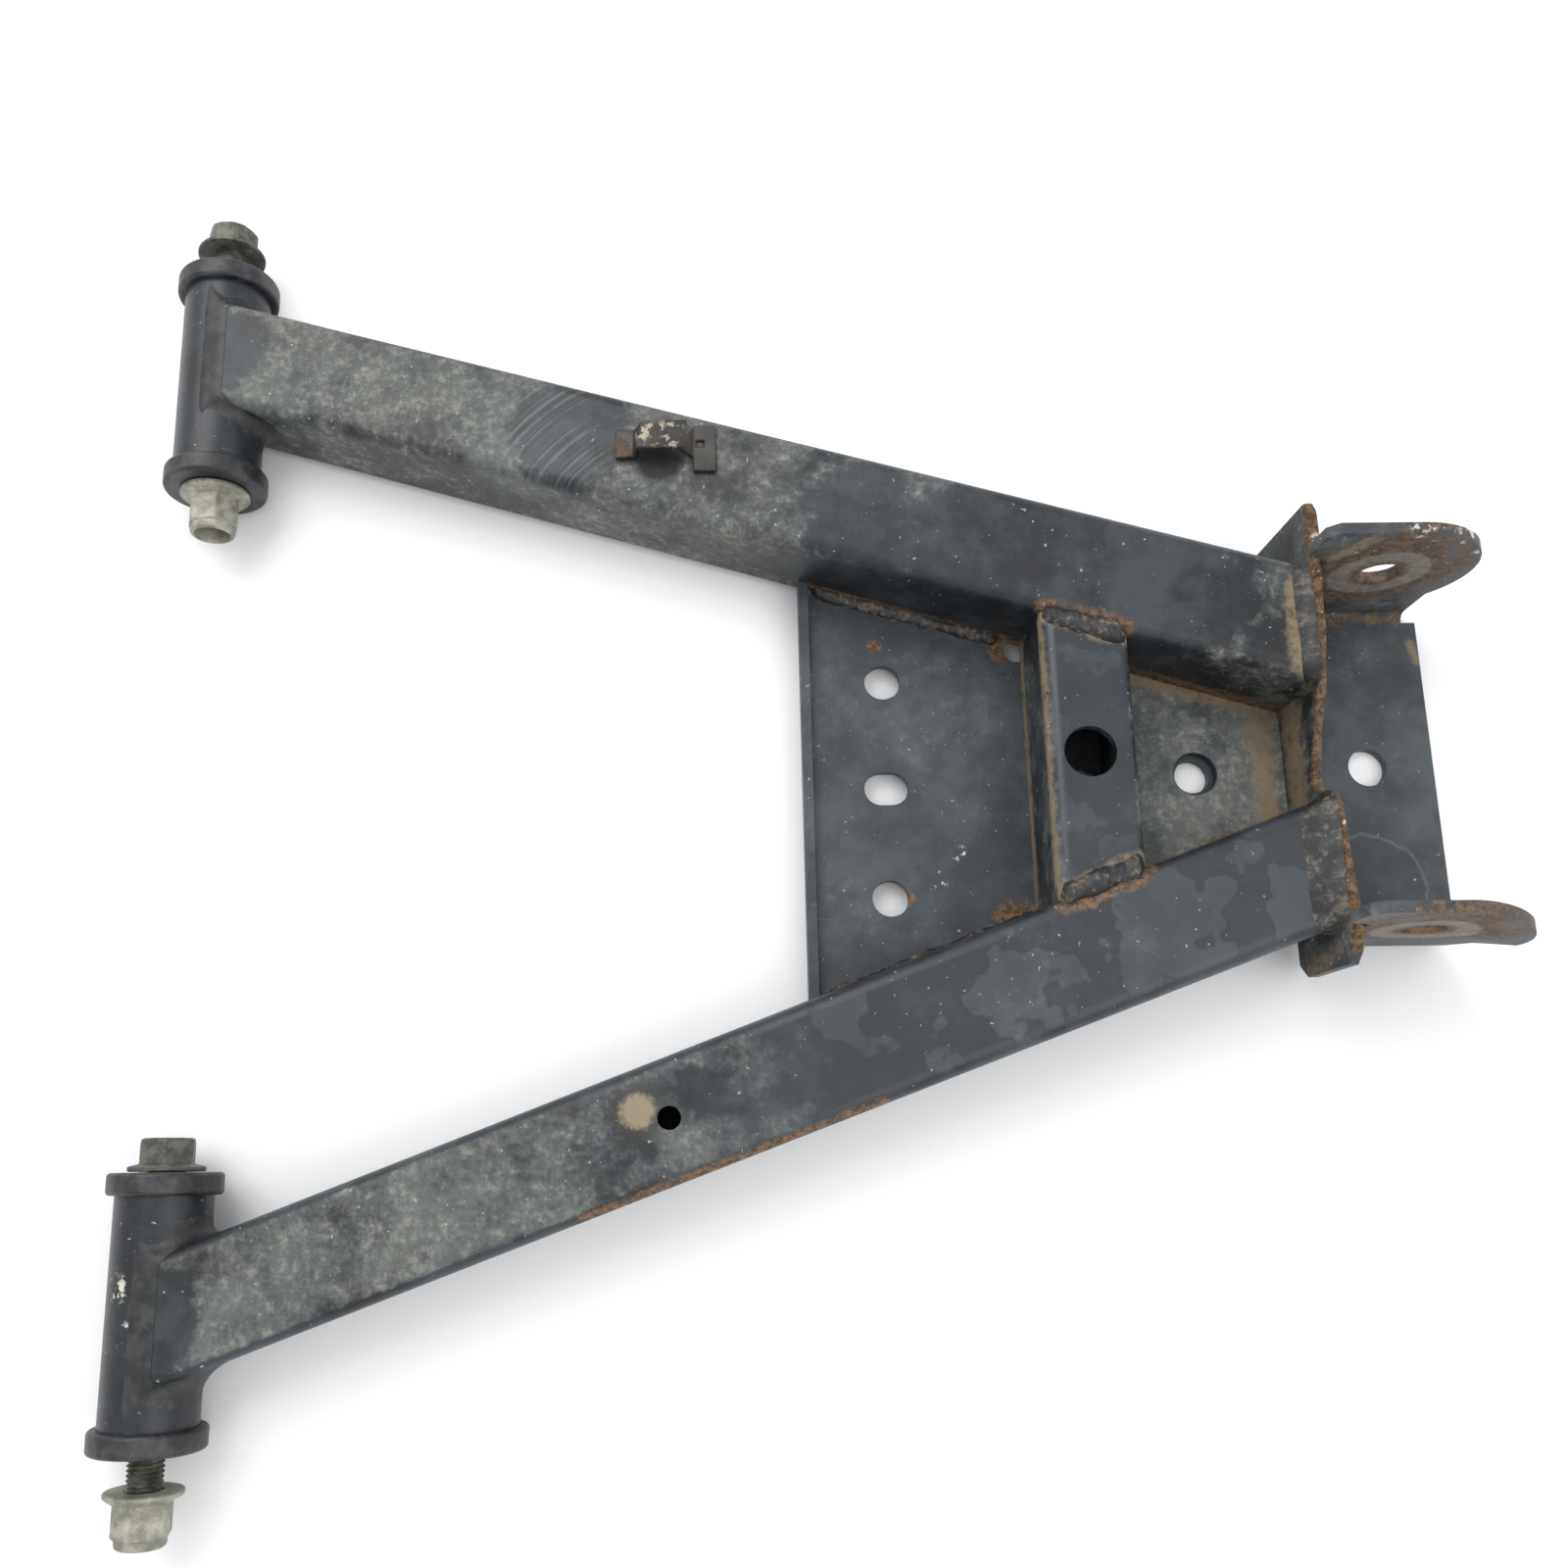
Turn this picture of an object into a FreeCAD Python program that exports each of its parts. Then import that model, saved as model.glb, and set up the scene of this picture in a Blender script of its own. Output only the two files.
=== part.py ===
import FreeCAD, Part
import math
import os
import Sketcher

# Welded suspension A-arm. While it is drawn, X runs from the pivot axis along the arm to the knuckle
# bracket, Y runs along the pivot axis, Z is up from the surface the arm lies on, and X = Y = 0 is midway
# between the two pivots. Each piece's Placement then moves it so that the origin is at the middle of the
# whole arm's footprint.

DRIVING_SIZES = {
    # pivots
    "pivot_half_spacing": 140.0,
    "pivot_radius": 13.2,
    "pivot_wall": 2.5,
    "pivot_length": 60.5,
    "bush_flange_radius": 15.6,
    "bush_flange_thickness": 6.2,
    "bush_spigot_length": 22.0,
    "bush_rim_round": 1.2,
    "running_gap": 0.05,
    "sleeve_radius": 7.5,
    "sleeve_bore_radius": 5.08,
    "sleeve_overhang": 0.1,
    "seat_gap": 0.1,
    # bolts and nuts
    "bolt_radius": 5.0,
    "bolt_grip": 82.8,
    "bolt_end_in_nut": 9.4,
    "head_flange_radius": 10.5,
    "head_height": 9.2,
    "hexagon_across_flats": 14.0,
    "flange_rim": 1.3,
    "flange_cone": 1.5,
    "corner_bevel": 1.0,
    "nut_height": 14.2,
    "nut_hexagon_end": 11.6,
    "nut_collar_radius": 6.9,
    "nut_mouth_radius": 5.6,
    # arms: pivot end, then knuckle end
    "arm_near": 4.0,
    "arm_far": 328.0,
    "rear_near_middle": 144.5,
    "rear_far_middle": 49.2,
    "rear_near_width": 34.4,
    "rear_far_width": 36.4,
    "front_near_middle": -142.6,
    "front_far_middle": -21.3,
    "front_near_width": 34.6,
    "front_far_width": 37.2,
    "arm_near_bottom": 1.6,
    "arm_near_top": 30.6,
    "arm_far_bottom": 1.0,
    "arm_far_top": 36.2,
    "arm_near_corner": 3.8,
    "arm_far_corner": 5.0,
    "arm_wall": 2.3,
    "clip_hole_along": 141.0,
    "clip_hole_across": -90.6,
    "clip_hole_radius": 3.25,
    # gusset plate
    "gusset_near": 184.5,
    "gusset_thickness": 3.0,
    "lip_height": 7.0,
    "lip_bend": 2.4,
    "gusset_hole_along": 207.0,
    "gusset_hole_middle": 8.15,
    "gusset_hole_spacing": 68.0,
    "gusset_hole_radius": 5.5,
    "slot_half_width": 5.2,
    "slot_length": 13.4,
    "tongue_hole_along": 301.0,
    "tongue_hole_across": 11.8,
    "gusset_tongue_hole_radius": 6.75,
    "drain_hole_along": 248.8,
    "drain_hole_across": 52.3,
    "drain_hole_radius": 3.9,
    # cross channel
    "channel_near": 250.0,
    "channel_far": 275.5,
    "channel_top": 34.0,
    "channel_wall": 3.0,
    "channel_bend": 4.0,
    "channel_hole_along": 261.6,
    "channel_hole_across": 10.9,
    "channel_hole_radius": 7.5,
    "under_channel_hole_along": 266.0,
    "under_channel_hole_across": 8.2,
    "under_channel_hole_radius": 6.5,
    # end plate
    "end_plate_thickness": 3.0,
    # knuckle bracket
    "bracket_thickness": 3.2,
    "bracket_far": 375.3,
    "bracket_bend": 2.8,
    "rear_ear_inside": 64.0,
    "front_ear_inside": -38.4,
    "ear_middle_along": 349.5,
    "ear_middle_up": 34.5,
    "ear_radius": 26.5,
    "ear_top_bevel": 3.0,
    "ear_overhang": 7.0,
    "ear_overhang_up": 43.0,
    "ear_root_far": 371.0,
    "knuckle_hole_radius": 6.0,
    "tongue_near": 285.0,
    "tongue_half_width": 10.5,
    "tongue_hole_radius": 5.25,
    "web_hole_along": 355.2,
    "web_hole_across": 14.1,
    "web_hole_radius": 5.9,
    # hose clip
    "clip_along": 139.7,
    "clip_across": 108.5,
    "clip_thickness": 1.6,
    "clip_half_width": 4.5,
    "clip_bridge_height": 7.0,
    # weld beads
    "pivot_weld_leg": 6.5,
    "gusset_weld_leg": 3.2,
    "channel_weld_reach": 5.4,
    "channel_weld_height": 1.4,
    "end_weld_reach": 9.5,
    "end_weld_height": 1.6,
    "ear_weld_leg": 3.0,
}

END_PLATE_TOP = [
    # across, up: the plate's wavy top edge, from its rear end to its front end
    (84.5, 38.0),
    (81.5, 41.2),
    (60.0, 39.6),
    (42.0, 37.6),
    (30.5, 35.0),
    (20.0, 29.5),
    (12.0, 27.5),
    (4.0, 25.5),
    (0.5, 26.0),
    (-1.5, 33.0),
    (-4.0, 36.4),
    (-18.0, 37.4),
    (-27.0, 38.6),
    (-34.0, 40.2),
    (-42.0, 41.0),
    (-47.5, 39.4),
    (-51.0, 34.5),
]
END_PLATE_BOTTOM = [
    (-51.0, 8.0),
    (-47.0, 3.2),
    (84.5, 3.2),
]


class Size:
    # a length, with the formula that works it out from the sheet
    def __init__(self, number, formula):
        self.number = number
        self.formula = formula

    def __add__(self, other):
        other = asSize(other)
        return Size(self.number + other.number, f"({self.formula} + {other.formula})")

    def __sub__(self, other):
        other = asSize(other)
        return Size(self.number - other.number, f"({self.formula} - {other.formula})")

    def __mul__(self, other):
        other = asSize(other)
        return Size(self.number * other.number, f"({self.formula} * {other.formula})")

    def __truediv__(self, other):
        other = asSize(other)
        return Size(self.number / other.number, f"({self.formula} / {other.formula})")

    def __neg__(self):
        return Size(-self.number, f"(0 - {self.formula})")


def asSize(value):
    if isinstance(value, Size):
        return value
    return Size(float(value), f"({float(value):.6f})")


document = FreeCAD.newDocument("SuspensionArm")
sheet = document.addObject("Spreadsheet::Sheet", "Sizes")
for row, (alias, number) in enumerate(DRIVING_SIZES.items(), start=1):
    sheet.set(f"A{row}", alias)
    sheet.set(f"B{row}", str(number))
    sheet.setAlias(f"B{row}", alias)
document.recompute()


def size(alias):
    return Size(DRIVING_SIZES[alias], f"Sizes.{alias}")


subParts = []


# placing and sketching

def bind(item, path, value):
    item.setExpression(path, asSize(value).formula)


def place(item, along, across, up, quarterTurns=0):
    turn = FreeCAD.Rotation(FreeCAD.Vector(0, 0, 1), 90.0 * quarterTurns)
    item.Placement = FreeCAD.Placement(FreeCAD.Vector(0, 0, 0), turn)
    bind(item, "Placement.Base.x", along)
    bind(item, "Placement.Base.y", across)
    bind(item, "Placement.Base.z", up)


def newBody(name, isPiece=True):
    body = document.addObject("PartDesign::Body", name)
    body.Label = name
    body.AllowCompound = True
    if isPiece:
        subParts.append(body)
    return body


def originFeature(body, role):
    for feature in body.Origin.OriginFeatures:
        if feature.Role == role:
            return feature
    raise ValueError(role)


def newSketch(body, name, plane, lift=0.0):
    sketch = body.newObject("Sketcher::SketchObject", name)
    sketch.AttachmentSupport = [(originFeature(body, plane), "")]
    sketch.MapMode = "FlatFace"
    bind(sketch, "AttachmentOffset.Base.z", lift)
    return sketch


def fix(sketch, kind, *items):
    # adds one constraint whose last item is a Size and ties it to the sheet
    value = asSize(items[-1])
    number = sketch.addConstraint(Sketcher.Constraint(kind, *items[:-1], value.number))
    label = f"value{number}"
    sketch.renameConstraint(number, label)
    sketch.setExpression(f"Constraints.{label}", value.formula)


def fixPoint(sketch, geometry, point, across, up):
    fix(sketch, "DistanceX", -1, 1, geometry, point, across)
    fix(sketch, "DistanceY", -1, 1, geometry, point, up)


def vector(across, up):
    return FreeCAD.Vector(asSize(across).number, asSize(up).number, 0)


def polygonSketch(body, name, plane, corners, lift=0.0):
    sketch = newSketch(body, name, plane, lift)
    count = len(corners)
    for index in range(count):
        start = vector(*corners[index])
        end = vector(*corners[(index + 1) % count])
        sketch.addGeometry(Part.LineSegment(start, end), False)
    for index in range(count):
        following = (index + 1) % count
        sketch.addConstraint(Sketcher.Constraint("Coincident", index, 2, following, 1))
    for index in range(count):
        fixPoint(sketch, index, 1, *corners[index])
    return sketch


def circleSketch(body, name, plane, circles, lift=0.0):
    sketch = newSketch(body, name, plane, lift)
    for across, up, radius in circles:
        shape = Part.Circle(vector(across, up), FreeCAD.Vector(0, 0, 1), asSize(radius).number)
        index = sketch.addGeometry(shape, False)
        fixPoint(sketch, index, 3, across, up)
        fix(sketch, "Radius", index, radius)
    return sketch


def arcAt(centre, radius, startAngle, endAngle):
    circle = Part.Circle(centre, FreeCAD.Vector(0, 0, 1), radius)
    return Part.ArcOfCircle(circle, math.radians(startAngle), math.radians(endAngle))


def roundedBoxSketch(body, name, plane, low, high, radius, lift=0.0):
    # a rectangle from low to high whose four corners have one radius
    sketch = newSketch(body, name, plane, lift)
    left, bottom = low[0].number, low[1].number
    right, top = high[0].number, high[1].number
    r = radius.number
    lines = [
        ((left + r, bottom), (right - r, bottom)),
        ((right, bottom + r), (right, top - r)),
        ((right - r, top), (left + r, top)),
        ((left, top - r), (left, bottom + r)),
    ]
    corners = [
        ((right - r, bottom + r), 270, 360),
        ((right - r, top - r), 0, 90),
        ((left + r, top - r), 90, 180),
        ((left + r, bottom + r), 180, 270),
    ]
    for start, end in lines:
        sketch.addGeometry(Part.LineSegment(vector(*start), vector(*end)), False)
    for centre, startAngle, endAngle in corners:
        sketch.addGeometry(arcAt(vector(*centre), r, startAngle, endAngle), False)
    for index in range(4):
        following = (index + 1) % 4
        sketch.addConstraint(Sketcher.Constraint("Tangent", index, 2, 4 + index, 1))
        sketch.addConstraint(Sketcher.Constraint("Tangent", 4 + index, 2, following, 1))
    sketch.addConstraint(Sketcher.Constraint("Horizontal", 0))
    sketch.addConstraint(Sketcher.Constraint("Vertical", 1))
    sketch.addConstraint(Sketcher.Constraint("Horizontal", 2))
    sketch.addConstraint(Sketcher.Constraint("Vertical", 3))
    for index in (5, 6, 7):
        sketch.addConstraint(Sketcher.Constraint("Equal", 4, index))
    fix(sketch, "Radius", 4, radius)
    fix(sketch, "DistanceY", -1, 1, 0, 1, low[1])
    fix(sketch, "DistanceX", -1, 1, 1, 1, high[0])
    fix(sketch, "DistanceY", -1, 1, 2, 1, high[1])
    fix(sketch, "DistanceX", -1, 1, 3, 1, low[0])
    return sketch


# features

def pad(body, name, sketch, length, reverse=False):
    feature = body.newObject("PartDesign::Pad", name)
    feature.Profile = sketch
    bind(feature, "Length", length)
    feature.Reversed = reverse
    document.recompute()
    return feature


def requireCut(body, before):
    document.recompute()
    if body.Shape.Volume >= before - 0.01:
        raise ValueError(f"{body.Label}: a cut removed nothing")


def pocket(body, name, sketch, length=None, reverse=False):
    # with no length it cuts through everything, both ways
    before = body.Shape.Volume
    feature = body.newObject("PartDesign::Pocket", name)
    feature.Profile = sketch
    if length is None:
        feature.Type = "ThroughAll"
        feature.Midplane = True
    else:
        bind(feature, "Length", length)
        feature.Reversed = reverse
    requireCut(body, before)
    return feature


def revolve(body, name, sketch, kind="PartDesign::Revolution"):
    # a full turn about the body's own Y axis
    before = body.Shape.Volume if kind == "PartDesign::Groove" else 0.0
    feature = body.newObject(kind, name)
    feature.Profile = sketch
    feature.ReferenceAxis = (originFeature(body, "Y_Axis"), [""])
    feature.Angle = 360.0
    document.recompute()
    if kind == "PartDesign::Groove":
        requireCut(body, before)
    return feature


def loft(body, name, kind, first, last):
    before = body.Shape.Volume if kind == "PartDesign::SubtractiveLoft" else 0.0
    feature = body.newObject(kind, name)
    feature.Profile = first
    feature.Sections = [last]
    feature.Ruled = True
    document.recompute()
    if kind == "PartDesign::SubtractiveLoft":
        requireCut(body, before)
    return feature


def edgesWhere(shape, test):
    names = []
    for number, edge in enumerate(shape.Edges, start=1):
        if test(edge.CenterOfMass, edge.BoundBox):
            names.append(f"Edge{number}")
    if not names:
        raise ValueError("no edge was found to round")
    return names


def dress(body, name, kind, sizeName, value, test):
    # a Fillet or a Chamfer on the edges that pass the test, in the body's own axes
    base = body.Tip
    local = base.Shape.copy()
    local.Placement = FreeCAD.Placement()
    feature = body.newObject(kind, name)
    feature.Base = (base, edgesWhere(local, test))
    bind(feature, sizeName, value)
    document.recompute()
    return feature


def near(first, second, slack=0.05):
    return abs(first - asSize(second).number) < slack


# shared positions

originAlong = (size("ear_middle_along") + size("ear_radius") - size("bush_flange_radius")) / 2
sleeveEnd = size("pivot_length") / 2 + size("bush_flange_thickness") + size("sleeve_overhang")
seat = size("pivot_half_spacing") - sleeveEnd - size("seat_gap")
rearHeadSeat = seat + size("bolt_grip")
frontNutSeat = -seat - size("bolt_grip")
rearEnd = rearHeadSeat + size("head_height")
frontEnd = frontNutSeat - size("nut_height")
originAcross = (rearEnd + frontEnd) / 2
pivotUp = size("bush_flange_radius")
webTop = size("bracket_thickness")
gussetTop = webTop + size("gusset_thickness")
endPlateFar = size("arm_far") + size("end_plate_thickness")


def armValue(atNear, atFar, along):
    # a value that changes evenly along an arm
    share = (asSize(along) - size("arm_near")) / (size("arm_far") - size("arm_near"))
    return atNear + (atFar - atNear) * share


def armSide(arm, side, along):
    # where the arm's rear (+1) or front (-1) face is across, at a distance along
    middle = armValue(size(f"{arm}_near_middle"), size(f"{arm}_far_middle"), along)
    width = armValue(size(f"{arm}_near_width"), size(f"{arm}_far_width"), along)
    return middle + width * (side / 2)


def armTop(along):
    return armValue(size("arm_near_top"), size("arm_far_top"), along)


def placeWhole(item):
    place(item, -originAlong, -originAcross, 0)


def placeOnPivot(item, across, quarterTurns=0):
    place(item, -originAlong, asSize(across) - originAcross, pivotUp, quarterTurns)


# pivots

def pivotTube(name, across):
    body = newBody(name)
    outer = size("pivot_radius")
    inner = outer - size("pivot_wall")
    half = size("pivot_length") / 2
    outline = [(inner, -half), (outer, -half), (outer, half), (inner, half)]
    revolve(body, f"{name}_turn", polygonSketch(body, f"{name}_outline", "XY_Plane", outline))
    placeOnPivot(body, across)


def pivotBush(name, across, quarterTurns):
    # the flange's inner face is at local Y = 0 and the spigot points to -Y
    body = newBody(name)
    bore = size("sleeve_radius") + size("running_gap")
    spigot = size("pivot_radius") - size("pivot_wall")
    rim = size("bush_flange_radius")
    thick = size("bush_flange_thickness")
    outline = [
        (bore, -size("bush_spigot_length")),
        (spigot, -size("bush_spigot_length")),
        (spigot, 0),
        (rim, 0),
        (rim, thick),
        (bore, thick),
    ]
    revolve(body, f"{name}_turn", polygonSketch(body, f"{name}_outline", "XY_Plane", outline))
    atRim = lambda middle, box: near(box.XMax, rim) and near(box.YLength, 0)
    dress(body, f"{name}_rim", "PartDesign::Fillet", "Radius", size("bush_rim_round"), atRim)
    placeOnPivot(body, across, quarterTurns)


def innerSleeve(name, across):
    body = newBody(name)
    bore = size("sleeve_bore_radius")
    outer = size("sleeve_radius")
    outline = [(bore, -sleeveEnd), (outer, -sleeveEnd), (outer, sleeveEnd), (bore, sleeveEnd)]
    revolve(body, f"{name}_turn", polygonSketch(body, f"{name}_outline", "XY_Plane", outline))
    placeOnPivot(body, across)


def hexagon():
    # corners of the hexagon, one flat facing up
    corner = size("hexagon_across_flats") / (2 * math.cos(math.radians(30)))
    points = []
    for index in range(6):
        angle = math.radians(60 * index)
        points.append((corner * math.cos(angle), corner * math.sin(angle)))
    return points


def flangeBolt(name, across):
    # the head's seat is at local Y = 0, the head is on +Y and the shank on -Y
    body = newBody(name)
    shank = size("bolt_radius")
    tip = -size("bolt_grip") - size("bolt_end_in_nut")
    cone = size("flange_rim") + size("flange_cone")
    flat = size("hexagon_across_flats") / 2
    outline = [
        (0, tip),
        (shank - size("corner_bevel"), tip),
        (shank, tip + size("corner_bevel")),
        (shank, 0),
        (size("head_flange_radius"), 0),
        (size("head_flange_radius"), size("flange_rim")),
        (flat, cone),
        (0, cone),
    ]
    revolve(body, f"{name}_turn", polygonSketch(body, f"{name}_outline", "XY_Plane", outline))
    head = polygonSketch(body, f"{name}_hexagon", "XZ_Plane", hexagon(), -size("flange_rim"))
    pad(body, f"{name}_head", head, size("head_height") - size("flange_rim"), reverse=True)
    top = size("head_height")
    reach = size("head_flange_radius")
    bevel = [(flat, top), (reach, top), (reach, top - (reach - flat) / 2)]
    turned = polygonSketch(body, f"{name}_bevel_outline", "XY_Plane", bevel)
    revolve(body, f"{name}_bevel", turned, "PartDesign::Groove")
    placeOnPivot(body, across)


def flangeNut(name, across):
    # the nut's seat is at local Y = 0, facing +Y
    body = newBody(name)
    thread = size("bolt_radius")
    cone = size("flange_rim") + size("flange_cone")
    flat = size("hexagon_across_flats") / 2
    collar = size("nut_collar_radius")
    bottom = -size("nut_height")
    outline = [
        (0, 0),
        (size("head_flange_radius"), 0),
        (size("head_flange_radius"), -size("flange_rim")),
        (collar, -cone),
        (collar, bottom + size("corner_bevel")),
        (collar - size("corner_bevel"), bottom),
        (0, bottom),
    ]
    revolve(body, f"{name}_turn", polygonSketch(body, f"{name}_outline", "XY_Plane", outline))
    sides = polygonSketch(body, f"{name}_hexagon", "XZ_Plane", hexagon(), size("flange_rim"))
    pad(body, f"{name}_sides", sides, size("nut_hexagon_end") - size("flange_rim"))
    bore = [
        (0, 0),
        (thread, 0),
        (thread, -size("bolt_end_in_nut")),
        (size("nut_mouth_radius"), bottom + size("corner_bevel")),
        (size("nut_mouth_radius"), bottom),
        (0, bottom),
    ]
    opened = polygonSketch(body, f"{name}_bore_outline", "XY_Plane", bore)
    revolve(body, f"{name}_bore", opened, "PartDesign::Groove")
    end = -size("nut_hexagon_end")
    reach = size("head_flange_radius")
    bevel = [(flat, end), (reach, end + (reach - flat) / 2), (reach, end)]
    turned = polygonSketch(body, f"{name}_bevel_outline", "XY_Plane", bevel)
    revolve(body, f"{name}_bevel", turned, "PartDesign::Groove")
    placeOnPivot(body, across)


def pivotSet(end, side, headSeat, nutSeat):
    middle = size("pivot_half_spacing") * side
    half = size("pivot_length") / 2
    pivotTube(f"{end}_pivot_tube", middle)
    pivotBush(f"{end}_bush_toward_rear", middle + half, 0)
    pivotBush(f"{end}_bush_toward_front", middle - half, 2)
    innerSleeve(f"{end}_inner_sleeve", middle)
    flangeBolt(f"{end}_pivot_bolt", headSeat)
    flangeNut(f"{end}_pivot_nut", nutSeat)


# arms

def armSection(body, name, arm, along, which, inset):
    middle = size(f"{arm}_{which}_middle")
    half = size(f"{arm}_{which}_width") / 2
    low = (middle - half + inset, size(f"arm_{which}_bottom") + inset)
    high = (middle + half - inset, size(f"arm_{which}_top") - inset)
    radius = size(f"arm_{which}_corner") - inset
    return roundedBoxSketch(body, name, "YZ_Plane", low, high, radius, along)


def armTube(arm):
    # a tapering rounded tube, hollow right through, its near end coped to the pivot tube
    name = f"{arm}_arm_tube"
    body = newBody(name)
    nearEnd = size("arm_near")
    farEnd = size("arm_far")
    outside = [
        armSection(body, f"{name}_near_outside", arm, nearEnd, "near", asSize(0)),
        armSection(body, f"{name}_far_outside", arm, farEnd, "far", asSize(0)),
    ]
    loft(body, f"{name}_outside", "PartDesign::AdditiveLoft", *outside)
    wall = size("arm_wall")
    inside = [
        armSection(body, f"{name}_near_inside", arm, nearEnd, "near", wall),
        armSection(body, f"{name}_far_inside", arm, farEnd, "far", wall),
    ]
    loft(body, f"{name}_inside", "PartDesign::SubtractiveLoft", *inside)
    cope = [(0, pivotUp, size("pivot_radius"))]
    pocket(body, f"{name}_cope", circleSketch(body, f"{name}_cope_outline", "XZ_Plane", cope))
    placeWhole(body)
    return body


def clipHole(body):
    # through the top wall only
    at = [(size("clip_hole_along"), size("clip_hole_across"), size("clip_hole_radius"))]
    sketch = circleSketch(body, "clip_hole_outline", "XY_Plane", at, size("arm_far_top"))
    pocket(body, "clip_hole", sketch, size("arm_far_top") / 2)


# plates

def betweenArms(nearEdge, farEdge):
    return [
        (nearEdge, armSide("front", 1, nearEdge)),
        (farEdge, armSide("front", 1, farEdge)),
        (farEdge, armSide("rear", -1, farEdge)),
        (nearEdge, armSide("rear", -1, nearEdge)),
    ]


def gussetPlate():
    body = newBody("gusset_plate")
    thick = size("gusset_thickness")
    lipNear = size("gusset_near") - thick
    floor = betweenArms(lipNear, size("arm_far"))
    pad(body, "gusset_floor", polygonSketch(body, "gusset_outline", "XY_Plane", floor, webTop), thick)
    lip = polygonSketch(body, "lip_outline", "XY_Plane", betweenArms(lipNear, size("gusset_near")), webTop)
    pad(body, "gusset_lip", lip, size("lip_height"))
    outerBend = lambda middle, box: (
        near(box.XMin, lipNear) and near(box.XMax, lipNear) and near(middle.z, webTop) and box.YLength > 50
    )
    dress(body, "lip_outer_bend", "PartDesign::Fillet", "Radius", size("lip_bend"), outerBend)
    innerBend = lambda middle, box: (
        near(box.XMax, size("gusset_near")) and near(middle.z, gussetTop) and box.YLength > 50
    )
    dress(body, "lip_inner_bend", "PartDesign::Fillet", "Radius", size("lip_bend") / 2, innerBend)
    along = size("gusset_hole_along")
    middle = size("gusset_hole_middle")
    half = size("gusset_hole_spacing") / 2
    holes = [
        (along, middle + half, size("gusset_hole_radius")),
        (along, middle - half, size("gusset_hole_radius")),
        (size("tongue_hole_along"), size("tongue_hole_across"), size("gusset_tongue_hole_radius")),
        (
            size("under_channel_hole_along"),
            size("under_channel_hole_across"),
            size("under_channel_hole_radius"),
        ),
        (size("drain_hole_along"), size("drain_hole_across"), size("drain_hole_radius")),
    ]
    pocket(body, "gusset_holes", circleSketch(body, "gusset_hole_outlines", "XY_Plane", holes))
    reach = size("slot_length") / 2 - size("slot_half_width")
    width = size("slot_half_width")
    ends = [(along - reach, middle, width), (along + reach, middle, width)]
    for index, end in enumerate(ends):
        outline = circleSketch(body, f"slot_end_outline_{index}", "XY_Plane", [end])
        pocket(body, f"slot_end_{index}", outline)
    centre = [
        (along - reach, middle - width),
        (along + reach, middle - width),
        (along + reach, middle + width),
        (along - reach, middle + width),
    ]
    pocket(body, "slot_middle", polygonSketch(body, "slot_middle_outline", "XY_Plane", centre))
    placeWhole(body)


def crossChannel():
    # a folded U, open side down, whose ends follow the two arms
    body = newBody("cross_channel")
    nearWall = size("channel_near")
    farWall = size("channel_far")
    top = size("channel_top")
    wall = size("channel_wall")
    block = polygonSketch(body, "channel_outline", "XY_Plane", betweenArms(nearWall, farWall), gussetTop)
    pad(body, "channel_block", block, top - gussetTop)
    topEdges = lambda middle, box: (
        near(middle.z, top) and near(box.XLength, 0) and box.YLength > 50
    )
    dress(body, "channel_bends", "PartDesign::Fillet", "Radius", size("channel_bend"), topEdges)
    hollow = [
        (nearWall + wall, gussetTop),
        (farWall - wall, gussetTop),
        (farWall - wall, top - wall - 1),
        (farWall - wall - 1, top - wall),
        (nearWall + wall + 1, top - wall),
        (nearWall + wall, top - wall - 1),
    ]
    pocket(body, "channel_hollow", polygonSketch(body, "hollow_outline", "XZ_Plane", hollow))
    at = [(size("channel_hole_along"), size("channel_hole_across"), size("channel_hole_radius"))]
    hole = circleSketch(body, "channel_hole_outline", "XY_Plane", at)
    pocket(body, "channel_hole", hole)
    placeWhole(body)


def endPlate():
    body = newBody("end_plate")
    outline = END_PLATE_TOP + END_PLATE_BOTTOM
    sketch = polygonSketch(body, "end_plate_outline", "YZ_Plane", outline, size("arm_far"))
    pad(body, "end_plate_sheet", sketch, size("end_plate_thickness"))
    placeWhole(body)


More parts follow.
